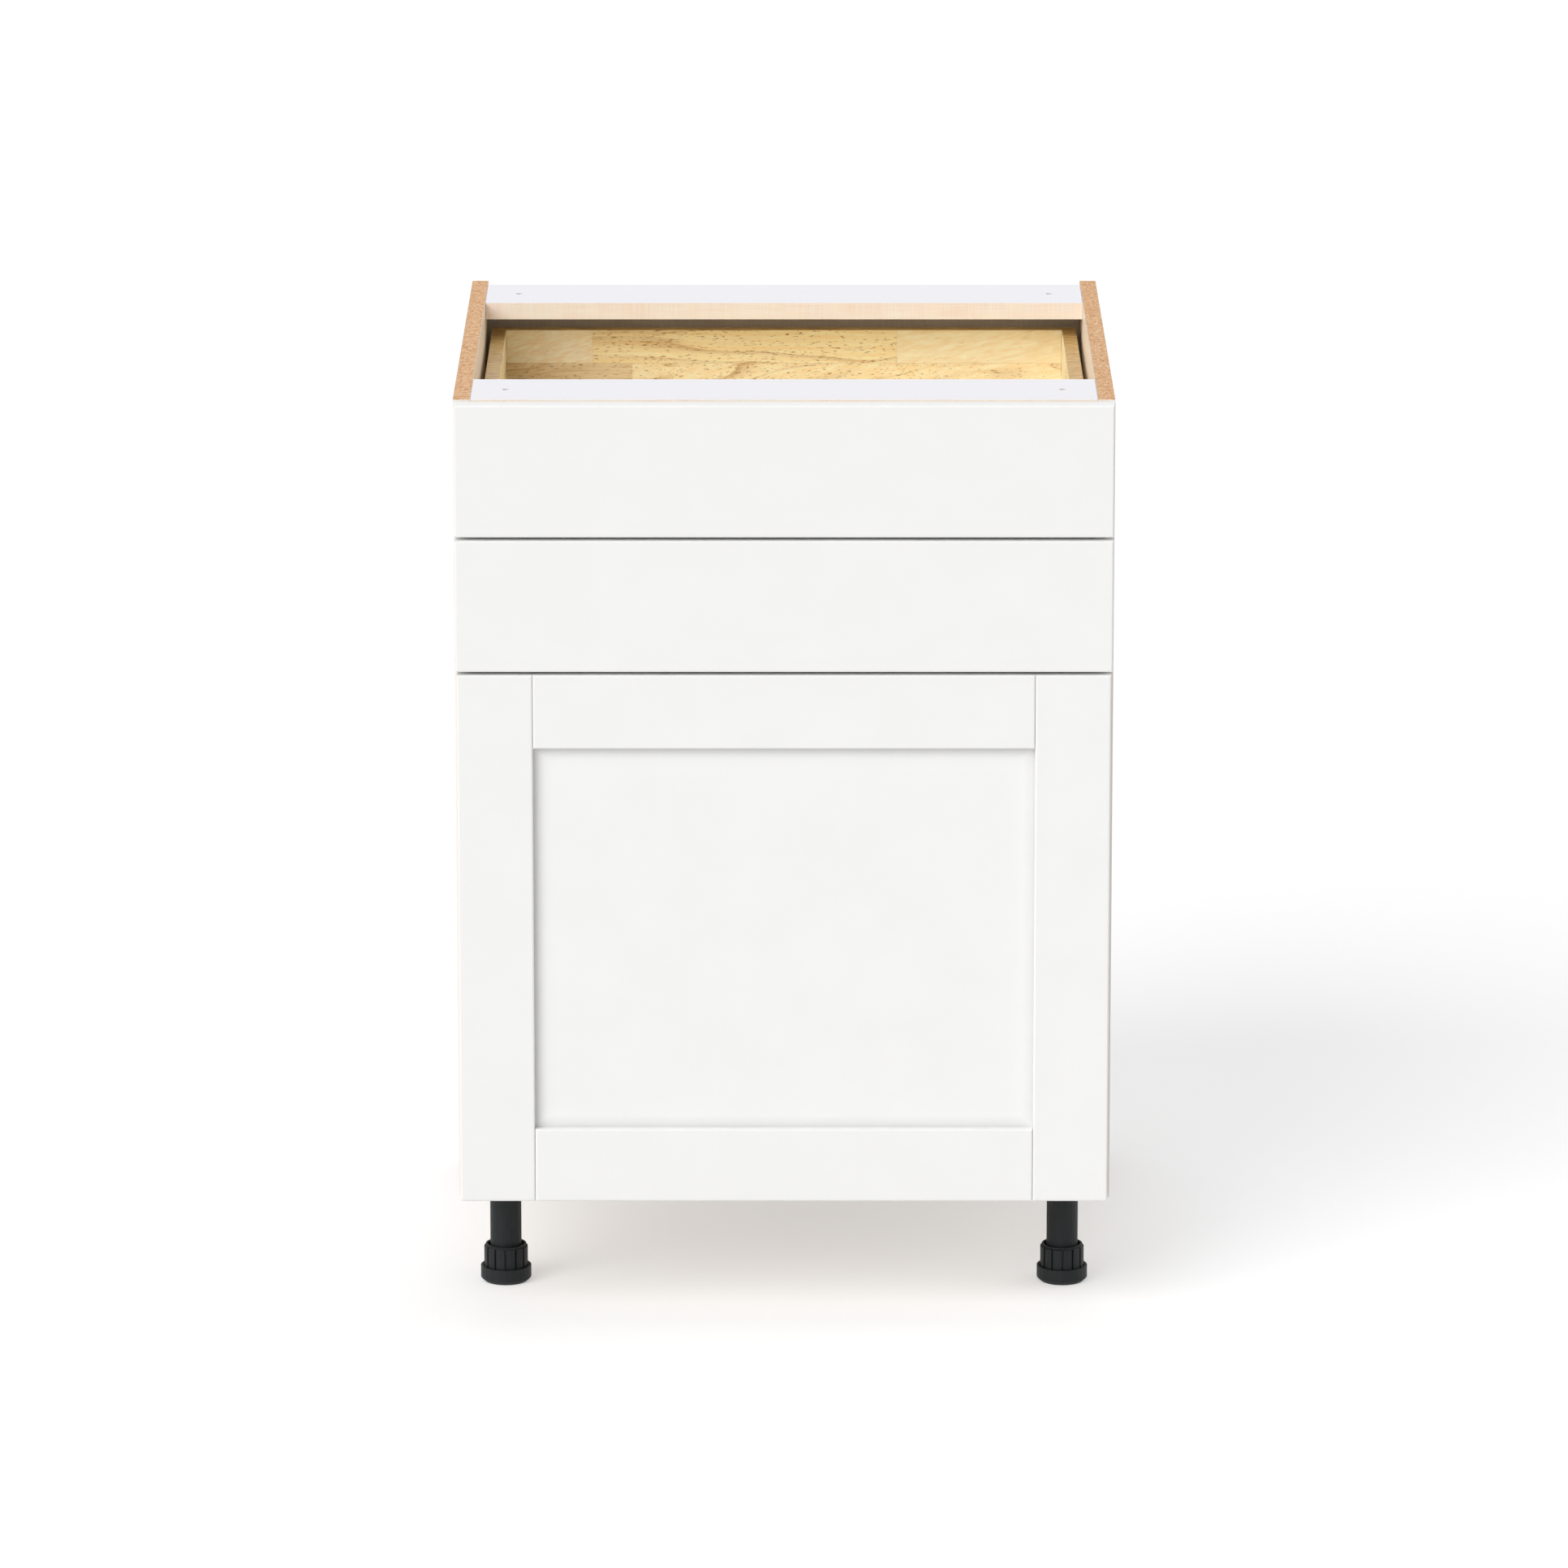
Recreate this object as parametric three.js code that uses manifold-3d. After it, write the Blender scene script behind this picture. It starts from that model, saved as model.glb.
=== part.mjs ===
// Frameless base cabinet: two drawers with slab fronts above one framed door, on four adjustable legs.
// Millimetres, +Z up, fronts facing -Y. The origin is on the floor, under the middle of the cabinet.
// The drawers run on undermount slides. The door hangs on the left side panel by two cup hinges.

import * as THREE from 'three';
import { mergeVertices } from 'three/addons/utils/BufferGeometryUtils.js';
import Module from 'manifold-3d';

const wasm = await Module();
wasm.setup();

// ---- Driving dimensions -------------------------------------------------------------------------

// Carcass
const cabinetWidth = 609.6; // over both side panels
const carcassDepth = 589.1; // side panel, front edge to back edge
const carcassHeight = 762;
const floorClearance = 114.3; // floor to the underside of the carcass
const boardThickness = 16;
const seatGap = 0.25; // left between two pieces that touch
const cutOvershoot = 1; // a cutting solid runs this far past the face it opens

// Stretchers and back panel
const stretcherWidth = 96;
const stretcherHoleRadius = 3; // worktop screw
const stretcherHoleInset = 31.5; // from the side panel's inner face
const backThickness = 12;
const backInset = 20; // back panel's back face to the side panels' back edges

// Fronts
const frontThickness = 19;
const frontGap = 1.5; // carcass to the back of a closed front
const frontEdgeMargin = 1.5; // top and bottom edge of the carcass to the nearest front
const betweenFronts = 3;
const frontRound = 2; // rounded front edges
const drawerFrontHeight = 124;
const drawerFrontReveal = 1.2; // side panel's outer face to the end of a drawer front
const doorReveal = 2.4; // side panel's outer face to the door's edge

// Door frame and panel
const stileWidth = 69.85;
const doorRailHeight = 69.85;
const doorPanelRecess = 9.5; // frame's front face to the panel's front face
const doorPanelThickness = 6.3;
const doorGrooveDepth = 10;
const doorPanelPlay = 0.6; // left in the groove beyond the panel's edge

// Drawer boxes
const boxBoard = 14;
const boxSideGap = 5; // side panel to the box
const boxAboveFrontBottom = 15.5; // front's bottom edge to the box's: slides clear the front below
const boxBelowFrontTop = 33.5; // box's top edge to the front's top edge
const boxTopRound = 1.5; // rounded top edges
const boxRearClearance = 25.3; // box to the back panel
const boxBottomThickness = 6;
const boxBottomRecess = 12; // box's bottom edge to the underside of its bottom
const boxGrooveDepth = 6;
const boxGroovePlay = 0.2;
const tailCount = 3; // dovetails at each corner
const pinTipWidth = 6; // between two tails, at their ends
const pinRootWidth = 10; // between two tails, at the shoulder
const tailSlack = 0.15;

// Undermount slides
const railSheet = 1.5;
const railPlay = 0.5; // between two rails of one slide
const railFlangeRise = 20; // box's bottom edge to the top of the screwed flange
const railShelfDrop = 2; // box's bottom edge to the shelf beneath it
const railNotchMargin = 2; // box side to the channel
const channelWidth = 22;
const channelDrop = 14; // box's bottom edge to the underside of the channel
const channelLipDrop = 4; // box's bottom edge to the top of the channel's inner wall
const middleRailRise = 3; // box's bottom edge to the top of the middle rail
const topPlateMargin = 1; // drawer rail's top plate to the box side and to the channel's end
const cabinetRailSetback = 3; // carcass front to the cabinet rail
const cabinetRailOverrun = 4; // cabinet rail past the back of the box
const middleRailSetback = 3; // box front board to the middle rail
const middleRailShortfall = 15; // middle rail's back end to the back of the box
const drawerRailSetback = 1; // box front board to the drawer rail

// Shelf and its pins
const systemSetback = 37; // carcass front to the front column of pin holes
const pinColumnSpacing = 448;
const pinHolePitch = 32;
const pinHoleRows = 5;
const firstPinHole = 166; // bottom panel to the lowest pin hole
const shelfRow = 2; // the row in use, counted from 0
const pinRadius = 2.5;
const pinHoleRadius = 2.7;
const pinHoleDepth = 11;
const pinLength = 10;
const pinTongueLength = 9;
const pinTongueWidth = 8;
const pinTongueThickness = 2;
const shelfSideClearance = 1.5;
const shelfFrontSetback = 20;
const shelfBackClearance = 3;

// Cup hinges. In plan, the crank and the coupler are two sides of a parallelogram.
const hingeEndDistance = 100; // hinge to the end of the door
const armPivotInset = 8; // side panel's inner face to the pivot on the arm
const cupPivotOffset = 6; // pivot in the cup to the cup's axis
const cupPivotDepth = 8.5; // door's back face to the pivot in the cup
const crankSpan = new THREE.Vector2(10, 0.8); // arm pivot to the crank's end
const couplerSpan = new THREE.Vector2(17, 7.8); // cup pivot to the crank's end
const cupRadius = 17.5;
const cupDepth = 12.8;
const cupWall = 1.2;
const cupFlangeRadius = 18.2;
const cupFlangeThickness = 0.8;
const cupWingStart = 3; // cup's axis to the near side of the screw wings
const cupWingWidth = 12.5;
const cupWingReach = 27; // cup's axis to the end of a wing
const cupScrewOffset = 9.5;
const cupScrewSpacing = 45;
const cupScrewRadius = 2;
const linkPinRadius = 1;
const linkPinPlay = 0.25;
const armHalfWidth = 7.5;
const armNoseRadius = 2.2;
const armNoseFrontGap = 0.9; // carcass front to the solid part of the arm
const armTaper = 8; // length over which the arm comes in to its nose
const armLength = 62;
const armHeight = 8;
const plateHeight = 8.5;
const plateLength = 30;
const plateHalfWidth = 9;
const plateWingThickness = 3;
const plateWingLength = 16;
const plateWingReach = 24;
const crankHalfWidth = 2.9;
const crankRadius = 2;
const cheekThickness = 1.5;
const cheekPlay = 0.3; // between neighbouring cheeks of the linkage
const couplerEyeRadius = 2;
const couplerBarrelRadius = 2.2;
const couplerHalfThickness = 1.3;

// Legs
const legInset = 40.4; // side panel's outer face to the leg's axis
const frontLegSetback = 114; // carcass front to the front legs' axes
const rearLegSetback = 75; // carcass back to the rear legs' axes
const tubeRadius = 14.85;
const tubeWall = 2;
const tubeFootClearance = 20; // floor to the end of the tube
const socketPlateSize = 70;
const socketPlateThickness = 3.5;
const socketPlateCorner = 10;
const socketWall = 3.5;
const socketLength = 22;
const gussetReach = 12;
const gussetThickness = 3;
const baseRadius = 24;
const baseHeight = 15;
const baseChamfer = 3.5;
const baseRimWall = 2.4;
const baseFloor = 6; // floor to the bottom of the ring between rim and collar
const collarRadius = 19.2;
const collarHeight = 36.2; // floor to the top of the collar
const collarInnerRadius = 17.3;
const collarFloor = 9; // floor to the bottom of the collar's bore
const gripRadius = 20.7;
const gripCount = 13;
const gripGroove = 2; // width of the grooves between two grips
const gripDrop = 1.7; // collar's top to the top of the grips
const gripChamfer = 0.8;
const stemPlay = 0.3;
const stemWall = 3;
const stemHeight = 66; // floor to the top of the stem

// Facets
const roundSteps = 4; // per rounded edge
const pinSteps = 12; // per small pin or hole
const cupSteps = 36;
const legSteps = 28;
const gripSteps = 3; // per grip

// ---- Places worked out from them ----------------------------------------------------------------

const outerX = cabinetWidth / 2;
const innerX = outerX - boardThickness;
const totalDepth = carcassDepth + frontGap + frontThickness;
const frontFaceY = -totalDepth / 2;
const frontBackY = frontFaceY + frontThickness;
const carcassFrontY = frontBackY + frontGap;
const carcassBackY = totalDepth / 2;
const backPanelBackY = carcassBackY - backInset;
const backPanelFrontY = backPanelBackY - backThickness;
const carcassTopZ = floorClearance + carcassHeight;
const floorPanelTopZ = floorClearance + boardThickness;
const stretcherUndersideZ = carcassTopZ - boardThickness;

const topFrontZ = carcassTopZ - frontEdgeMargin - drawerFrontHeight;
const middleFrontZ = topFrontZ - betweenFronts - drawerFrontHeight;
const doorTopZ = middleFrontZ - betweenFronts;
const doorBottomZ = floorClearance + frontEdgeMargin;
const doorEdgeX = outerX - doorReveal;

const boxOuterX = innerX - boxSideGap;
const boxInnerX = boxOuterX - boxBoard;
const boxFrontY = frontBackY + seatGap;
const boxFrontBoardY = boxFrontY + boxBoard;
const boxBackY = backPanelFrontY - boxRearClearance;
const boxBackBoardY = boxBackY - boxBoard;
const boxHeight = drawerFrontHeight - boxAboveFrontBottom - boxBelowFrontTop;

// ---- Geometry helpers ---------------------------------------------------------------------------

/** A closed solid made from a geometry, for cutting and joining. */
function solidOf(geometry) {
  const bare = geometry.clone();
  bare.deleteAttribute('normal');
  bare.deleteAttribute('uv');
  const merged = mergeVertices(bare);
  return new wasm.Manifold(new wasm.Mesh({
    numProp: 3,
    vertProperties: merged.attributes.position.array,
    triVerts: new Uint32Array(merged.index.array),
  }));
}

/** The geometry of a solid. */
function geometryOf(solid) {
  const mesh = solid.getMesh();
  const geometry = new THREE.BufferGeometry();
  geometry.setAttribute('position', new THREE.BufferAttribute(mesh.vertProperties, 3));
  geometry.setIndex(new THREE.BufferAttribute(mesh.triVerts, 1));
  geometry.computeVertexNormals();
  return geometry;
}

/** The first geometry with the others taken away. */
function cut(body, ...tools) {
  return geometryOf(tools.reduce((solid, tool) => solid.subtract(solidOf(tool)), solidOf(body)));
}

/** All the geometries as one. */
function join(...bodies) {
  return geometryOf(bodies.map(solidOf).reduce((solid, other) => solid.add(other)));
}

/** What two geometries have in common. */
function overlap(one, other) {
  return geometryOf(solidOf(one).intersect(solidOf(other)));
}

/** A block between two values on each axis, given in either order. */
function block(x, y, z) {
  const low = new THREE.Vector3(Math.min(...x), Math.min(...y), Math.min(...z));
  const high = new THREE.Vector3(Math.max(...x), Math.max(...y), Math.max(...z));
  const size = high.clone().sub(low);
  const centre = low.add(high).multiplyScalar(0.5);
  return new THREE.BoxGeometry(size.x, size.y, size.z).translate(centre.x, centre.y, centre.z);
}

function shapeOf(points) {
  return new THREE.Shape(points.map(([across, up]) => new THREE.Vector2(across, up)));
}

function extrude(shape, depth, curveSegments) {
  return new THREE.ExtrudeGeometry(shape, { depth, bevelEnabled: false, curveSegments });
}

/** An outline in (Y, Z), drawn out along X. */
function alongX(shape, from, to) {
  return extrude(shape, to - from).rotateX(Math.PI / 2).rotateZ(Math.PI / 2).translate(from, 0, 0);
}

/** An outline in (X, Z), drawn out along Y. */
function alongY(shape, from, to) {
  return extrude(shape, to - from).rotateX(Math.PI / 2).translate(0, to, 0);
}

/** An outline in (X, Y), drawn out along Z. */
function alongZ(shape, from, to, curveSegments = pinSteps) {
  return extrude(shape, to - from, curveSegments).translate(0, 0, from);
}

function rod(radius, length, steps) {
  return new THREE.CylinderGeometry(radius, radius, length, steps);
}

function rodAlongX(radius, [y, z], from, to, steps = pinSteps) {
  return rod(radius, to - from, steps).rotateZ(Math.PI / 2).translate((from + to) / 2, y, z);
}

function rodAlongY(radius, [x, z], from, to, steps = pinSteps) {
  return rod(radius, to - from, steps).translate(x, (from + to) / 2, z);
}

function rodAlongZ(radius, { x, y }, from, to, steps = pinSteps) {
  return rod(radius, to - from, steps).rotateX(Math.PI / 2).translate(x, y, (from + to) / 2);
}

/** A turned piece about Z from its (radius, height) profile, or about Y where upright is false. */
function turned(profile, steps, upright = true) {
  const points = profile.map(([radius, height]) => new THREE.Vector2(radius, height));
  const geometry = new THREE.LatheGeometry(points, steps);
  return upright ? geometry.rotateX(Math.PI / 2) : geometry;
}

function add(group, name, geometry, material, x = 0, y = 0, z = 0) {
  const mesh = new THREE.Mesh(geometry, material);
  mesh.name = name;
  mesh.position.set(x, y, z);
  group.add(mesh);
}

// ---- Finishes -----------------------------------------------------------------------------------

function finish(color, roughness, metalness = 0) {
  return new THREE.MeshStandardMaterial({ color, roughness, metalness });
}

const whiteMelamine = () => finish(0xf1f2f6, 0.45);
const creamLinen = () => finish(0xf4e3d0, 0.5);
const whitePaint = () => finish(0xf8f8f6, 0.4);
const rubberwood = () => finish(0xe0bb80, 0.55);
const zincSteel = () => finish(0xb9bcc0, 0.35, 0.9);
const blackPlastic = () => finish(0x2d2f30, 0.5);

// ---- Carcass ------------------------------------------------------------------------------------

const pinColumns = [carcassFrontY + systemSetback, carcassFrontY + systemSetback + pinColumnSpacing];

function pinHoleZ(row) {
  return floorPanelTopZ + firstPinHole + row * pinHolePitch;
}

/** A side panel, with two columns of blind holes for shelf pins. Side is -1 for left, 1 for right. */
function sidePanel(side) {
  const panel = block(
    [side * innerX, side * outerX],
    [carcassFrontY, carcassBackY],
    [floorClearance, carcassTopZ],
  );
  const mouth = side * (innerX - cutOvershoot);
  const bottom = side * (innerX + pinHoleDepth);
  const ends = [Math.min(mouth, bottom), Math.max(mouth, bottom)];
  const holes = [];
  for (const y of pinColumns) {
    for (let row = 0; row < pinHoleRows; row += 1) {
      holes.push(rodAlongX(pinHoleRadius, [y, pinHoleZ(row)], ...ends));
    }
  }
  return cut(panel, ...holes);
}

/** A flat board between the side panels, less a clearance at each end. */
function boardBetweenSides(y, z, clearance = seatGap) {
  return block([clearance - innerX, innerX - clearance], y, z);
}

/** A stretcher from one front-to-back place, with a worktop screw hole near each end. */
function stretcher(frontY) {
  const board = boardBetweenSides([frontY, frontY + stretcherWidth], [stretcherUndersideZ, carcassTopZ]);
  const holeY = frontY + stretcherWidth / 2;
  const holes = [-1, 1].map((side) => rodAlongZ(
    stretcherHoleRadius,
    { x: side * (innerX - stretcherHoleInset), y: holeY },
    stretcherUndersideZ - cutOvershoot,
    carcassTopZ + cutOvershoot,
  ));
  return cut(board, ...holes);
}

/** A shelf pin at the origin: a peg into the side panel and a tongue under the shelf. */
function shelfPin(side) {
  const peg = [0, side * pinLength].sort((a, b) => a - b);
  const tongueTop = pinRadius;
  return join(
    rodAlongX(pinRadius, [0, 0], ...peg),
    block(
      [0, -side * pinTongueLength],
      [-pinTongueWidth / 2, pinTongueWidth / 2],
      [tongueTop - pinTongueThickness, tongueTop],
    ),
    block([0, -side * pinTongueThickness], [-pinRadius, pinRadius], [-pinRadius, tongueTop]),
  );
}

function carcass() {
  const group = new THREE.Group();
  add(group, 'side_panel_left', sidePanel(-1), whiteMelamine());
  add(group, 'side_panel_right', sidePanel(1), whiteMelamine());

  const floorPanel = boardBetweenSides([carcassFrontY, carcassBackY], [floorClearance, floorPanelTopZ]);
  add(group, 'bottom_panel', floorPanel, creamLinen());

  const backZ = [floorPanelTopZ + seatGap, stretcherUndersideZ - seatGap];
  add(group, 'back_panel', boardBetweenSides([backPanelFrontY, backPanelBackY], backZ), creamLinen());

  add(group, 'stretcher_front', stretcher(carcassFrontY), whiteMelamine());
  add(group, 'stretcher_back', stretcher(backPanelBackY - stretcherWidth), whiteMelamine());

  const pinZ = pinHoleZ(shelfRow);
  const shelfZ = pinZ + pinRadius + seatGap;
  const shelfY = [carcassFrontY + shelfFrontSetback, backPanelFrontY - shelfBackClearance];
  const shelf = boardBetweenSides(shelfY, [shelfZ, shelfZ + boardThickness], shelfSideClearance);
  add(group, 'shelf', shelf, creamLinen());

  for (const [sideName, side] of [['left', -1], ['right', 1]]) {
    for (const [placeName, y] of [['front', pinColumns[0]], ['back', pinColumns[1]]]) {
      const x = side * (innerX - seatGap);
      add(group, `shelf_pin_${placeName}_${sideName}`, shelfPin(side), zincSteel(), x, y, pinZ);
    }
  }
  return group;
}

// ---- Fronts -------------------------------------------------------------------------------------

/** Section of a front board with rounded front corners, as (across, Y) points from low to high. */
function frontSection(low, high) {
  const section = new THREE.Path();
  const roundY = frontFaceY + frontRound;
  section.moveTo(low, frontBackY);
  section.lineTo(low, roundY);
  section.absarc(low + frontRound, roundY, frontRound, Math.PI, 1.5 * Math.PI, false);
  section.lineTo(high - frontRound, frontFaceY);
  section.absarc(high - frontRound, roundY, frontRound, 1.5 * Math.PI, 2 * Math.PI, false);
  section.lineTo(high, frontBackY);
  return section.getPoints(roundSteps).map((point) => [point.x, point.y]);
}

/** A board between two X and two Z values, with all four of its front edges rounded. */
function frontBoard(x, z) {
  const plan = alongZ(shapeOf(frontSection(...x)), ...z);
  const profile = frontSection(...z).map(([height, depth]) => [depth, height]);
  return overlap(plan, alongX(shapeOf(profile), ...x));
}

function drawerFront() {
  const endX = outerX - drawerFrontReveal;
  return frontBoard([-endX, endX], [0, drawerFrontHeight]);
}

// ---- Door ---------------------------------------------------------------------------------------

const doorPanelFrontY = frontFaceY + doorPanelRecess;
const doorGrooveY = [doorPanelFrontY - seatGap, doorPanelFrontY + doorPanelThickness + seatGap];
const openingX = doorEdgeX - stileWidth;
const openingZ = [doorBottomZ + doorRailHeight, doorTopZ - doorRailHeight];
const hingeHeights = { upper: doorTopZ - hingeEndDistance, lower: doorBottomZ + hingeEndDistance };

/** A stile, grooved along its inner edge. The left one is bored for the hinge cups. */
function doorStile(side) {
  const x = [side * openingX, side * doorEdgeX].sort((a, b) => a - b);
  const board = frontBoard(x, [doorBottomZ, doorTopZ]);
  const groove = block(
    [side * (openingX - cutOvershoot), side * (openingX + doorGrooveDepth)],
    doorGrooveY,
    [doorBottomZ - cutOvershoot, doorTopZ + cutOvershoot],
  );
  if (side > 0) {
    return cut(board, groove);
  }
  const boreY = [frontBackY - cupDepth - seatGap, frontBackY + cutOvershoot];
  const boreX = cupAxisX - outerX;
  const bores = Object.values(hingeHeights).map(
    (z) => rodAlongY(cupRadius + seatGap, [boreX, z], ...boreY, cupSteps),
  );
  return cut(board, groove, ...bores);
}

/** A rail between the stiles, grooved along its inner edge, with a tenon in each stile's groove. */
function doorRail(place) {
  const outerZ = place === 'top' ? doorTopZ : doorBottomZ;
  const innerZ = place === 'top' ? openingZ[1] : openingZ[0];
  const inward = Math.sign(innerZ - outerZ);
  const endX = openingX - seatGap;
  const tenonX = openingX + doorGrooveDepth - seatGap;
  const tenonY = [doorGrooveY[0] + seatGap, doorGrooveY[1] - seatGap];
  const z = [outerZ, innerZ].sort((a, b) => a - b);
  const board = frontBoard([-endX, endX], z);
  const tenons = block([-tenonX, tenonX], tenonY, [outerZ + inward * frontRound, innerZ]);
  const groove = block(
    [-tenonX - cutOvershoot, tenonX + cutOvershoot],
    doorGrooveY,
    [innerZ + inward * cutOvershoot, innerZ - inward * doorGrooveDepth],
  );
  return cut(join(board, tenons), groove);
}

function doorPanel() {
  const reach = doorGrooveDepth - doorPanelPlay;
  return block(
    [-openingX - reach, openingX + reach],
    [doorPanelFrontY, doorPanelFrontY + doorPanelThickness],
    [openingZ[0] - reach, openingZ[1] + reach],
  );
}

// ---- Hinges, drawn about the outer front corner of the left side panel ---------------------------

const cupPivot = new THREE.Vector2(
  boardThickness + armPivotInset + crankSpan.x - couplerSpan.x,
  -frontGap - cupPivotDepth,
);
const crankEnd = cupPivot.clone().add(couplerSpan);
const armPivot = crankEnd.clone().sub(crankSpan);
const cupAxisX = cupPivot.x + cupPivotOffset;
const armCheek = [crankHalfWidth + cheekPlay, crankHalfWidth + cheekPlay + cheekThickness];
const couplerCheek = [armCheek[1] + cheekPlay, armCheek[1] + cheekPlay + cheekThickness];
const linkBore = linkPinRadius + linkPinPlay;

/** The cup let into the door, with its flange, screw wings and the cross pin of the coupler. */
function hingeCup() {
  const bottomY = -frontGap - cupDepth;
  const flangeY = -frontGap + seatGap;
  const rimY = flangeY + cupFlangeThickness;
  const boreRadius = cupRadius - cupWall;
  const shell = turned([
    [0, bottomY],
    [cupRadius, bottomY],
    [cupRadius, flangeY],
    [cupFlangeRadius, flangeY],
    [cupFlangeRadius, rimY],
    [boreRadius, rimY],
    [boreRadius, bottomY + cupWall],
    [0, bottomY + cupWall],
  ], cupSteps, false).translate(cupAxisX, 0, 0);
  const wingX = cupAxisX + cupWingStart;
  const wings = block([wingX, wingX + cupWingWidth], [flangeY, rimY], [-cupWingReach, cupWingReach]);
  const through = [bottomY + cupWall, rimY + cutOvershoot];
  const mouth = rodAlongY(boreRadius, [cupAxisX, 0], ...through, cupSteps);
  const screws = [-1, 1].map((end) => rodAlongY(
    cupScrewRadius,
    [cupAxisX + cupScrewOffset, end * cupScrewSpacing / 2],
    flangeY - cutOvershoot,
    rimY + cutOvershoot,
  ));
  const pinReach = Math.sqrt((cupRadius - cupWall / 2) ** 2 - cupPivotOffset ** 2);
  const crossPin = rodAlongZ(linkPinRadius, cupPivot, -pinReach, pinReach);
  return join(cut(join(shell, cut(wings, mouth)), ...screws), crossPin);
}

/** A straight link between two places in plan, with round ends. */
function linkBar(from, to, halfThickness, z) {
  const angle = Math.atan2(to.y - from.y, to.x - from.x);
  const quarter = Math.PI / 2;
  const bar = new THREE.Shape();
  bar.absarc(to.x, to.y, halfThickness, angle - quarter, angle + quarter, false);
  bar.absarc(from.x, from.y, halfThickness, angle + quarter, angle + 3 * quarter, false);
  return alongZ(bar, ...z, pinSteps / 2);
}

/** The crank: a barrel on the arm's pin, a bar, and at its end the pin that carries the coupler. */
function hingeCrank() {
  const width = [-crankHalfWidth, crankHalfWidth];
  const bore = rodAlongZ(linkBore, armPivot, -armCheek[1], armCheek[1]);
  const bar = cut(linkBar(armPivot, crankEnd, crankRadius, width), bore);
  return join(bar, rodAlongZ(linkPinRadius, crankEnd, -couplerCheek[1], couplerCheek[1]));
}

/** The coupler: a barrel on the cup's pin and two cheeks whose eyes ride on the crank's pin. */
function hingeCoupler() {
  const outer = couplerCheek[1];
  const cheeks = [-1, 1].flatMap((end) => {
    const z = [end * couplerCheek[0], end * couplerCheek[1]].sort((a, b) => a - b);
    return [
      linkBar(cupPivot, crankEnd, couplerHalfThickness, z),
      rodAlongZ(couplerEyeRadius, crankEnd, ...z),
    ];
  });
  const body = join(rodAlongZ(couplerBarrelRadius, cupPivot, -outer, outer), ...cheeks);
  const through = [-outer - cutOvershoot, outer + cutOvershoot];
  return cut(body, rodAlongZ(linkBore, cupPivot, ...through), rodAlongZ(linkBore, crankEnd, ...through));
}

/** The arm with its mounting plate, screwed to the side panel, and the forked nose for the crank. */
function hingeArm() {
  const plateX = boardThickness + seatGap;
  const armX = plateX + plateHeight;
  const armOuterX = armX + armHeight;
  const noseLeft = armPivot.x - armNoseRadius;
  const body = alongZ(shapeOf([
    [noseLeft, armNoseFrontGap],
    [armPivot.x + armNoseRadius, armNoseFrontGap],
    [armOuterX, armNoseFrontGap + armTaper],
    [armOuterX, armLength],
    [armX, armLength],
    [armX, armNoseFrontGap + armTaper],
    [noseLeft, armNoseFrontGap + armTaper / 2],
  ]), -armHalfWidth, armHalfWidth);
  const plateY = [systemSetback - plateLength / 2, systemSetback + plateLength / 2];
  const wingY = [systemSetback - plateWingLength / 2, systemSetback + plateWingLength / 2];
  const plate = block([plateX, armX + plateWingThickness], plateY, [-plateHalfWidth, plateHalfWidth]);
  const wings = block([plateX, plateX + plateWingThickness], wingY, [-plateWingReach, plateWingReach]);
  const cheeks = [-1, 1].flatMap((end) => {
    const z = [end * armCheek[0], end * armCheek[1]].sort((a, b) => a - b);
    const neck = [armPivot.y, armNoseFrontGap + cheekThickness];
    return [
      block([noseLeft, armPivot.x + armNoseRadius], neck, z),
      rodAlongZ(armNoseRadius, armPivot, ...z),
    ];
  });
  const pivotPin = rodAlongZ(linkPinRadius, armPivot, -armCheek[1], armCheek[1]);
  return join(body, plate, wings, ...cheeks, pivotPin);
}

function doorAndHinges() {
  const group = new THREE.Group();
  add(group, 'door_stile_left', doorStile(-1), whitePaint());
  add(group, 'door_stile_right', doorStile(1), whitePaint());
  add(group, 'door_rail_top', doorRail('top'), whitePaint());
  add(group, 'door_rail_bottom', doorRail('bottom'), whitePaint());
  add(group, 'door_panel', doorPanel(), whitePaint());
  for (const [place, z] of Object.entries(hingeHeights)) {
    const hinge = new THREE.Group();
    hinge.position.set(-outerX, carcassFrontY, z);
    add(hinge, `hinge_${place}_arm`, hingeArm(), zincSteel());
    add(hinge, `hinge_${place}_crank`, hingeCrank(), zincSteel());
    add(hinge, `hinge_${place}_coupler`, hingeCoupler(), zincSteel());
    add(hinge, `hinge_${place}_cup`, hingeCup(), zincSteel());
    group.add(hinge);
  }
  return group;
}

// ---- Drawers, drawn with Z from the bottom edge of the box --------------------------------------

const tailPitch = boxHeight / tailCount;

/** Heights of a tail's two edges at its root or its tip. A lowest tail at the back reaches the edge. */
function tailEdges(index, gapWidth, reachesEdge) {
  const low = index === 0 && reachesEdge ? 0 : index * tailPitch + gapWidth / 2;
  return [low, (index + 1) * tailPitch - gapWidth / 2];
}

/** One end of a side board, as (Y, Z) points going up. */
function tailedEnd(shoulderY, endY, reachesEdge) {
  const points = reachesEdge ? [] : [[shoulderY, 0]];
  for (let index = 0; index < tailCount; index += 1) {
    const root = tailEdges(index, pinRootWidth, reachesEdge);
    const tip = tailEdges(index, pinTipWidth, reachesEdge);
    points.push([shoulderY, root[0]], [endY, tip[0]], [endY, tip[1]], [shoulderY, root[1]]);
  }
  points.push([shoulderY, boxHeight]);
  return points;
}

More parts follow.
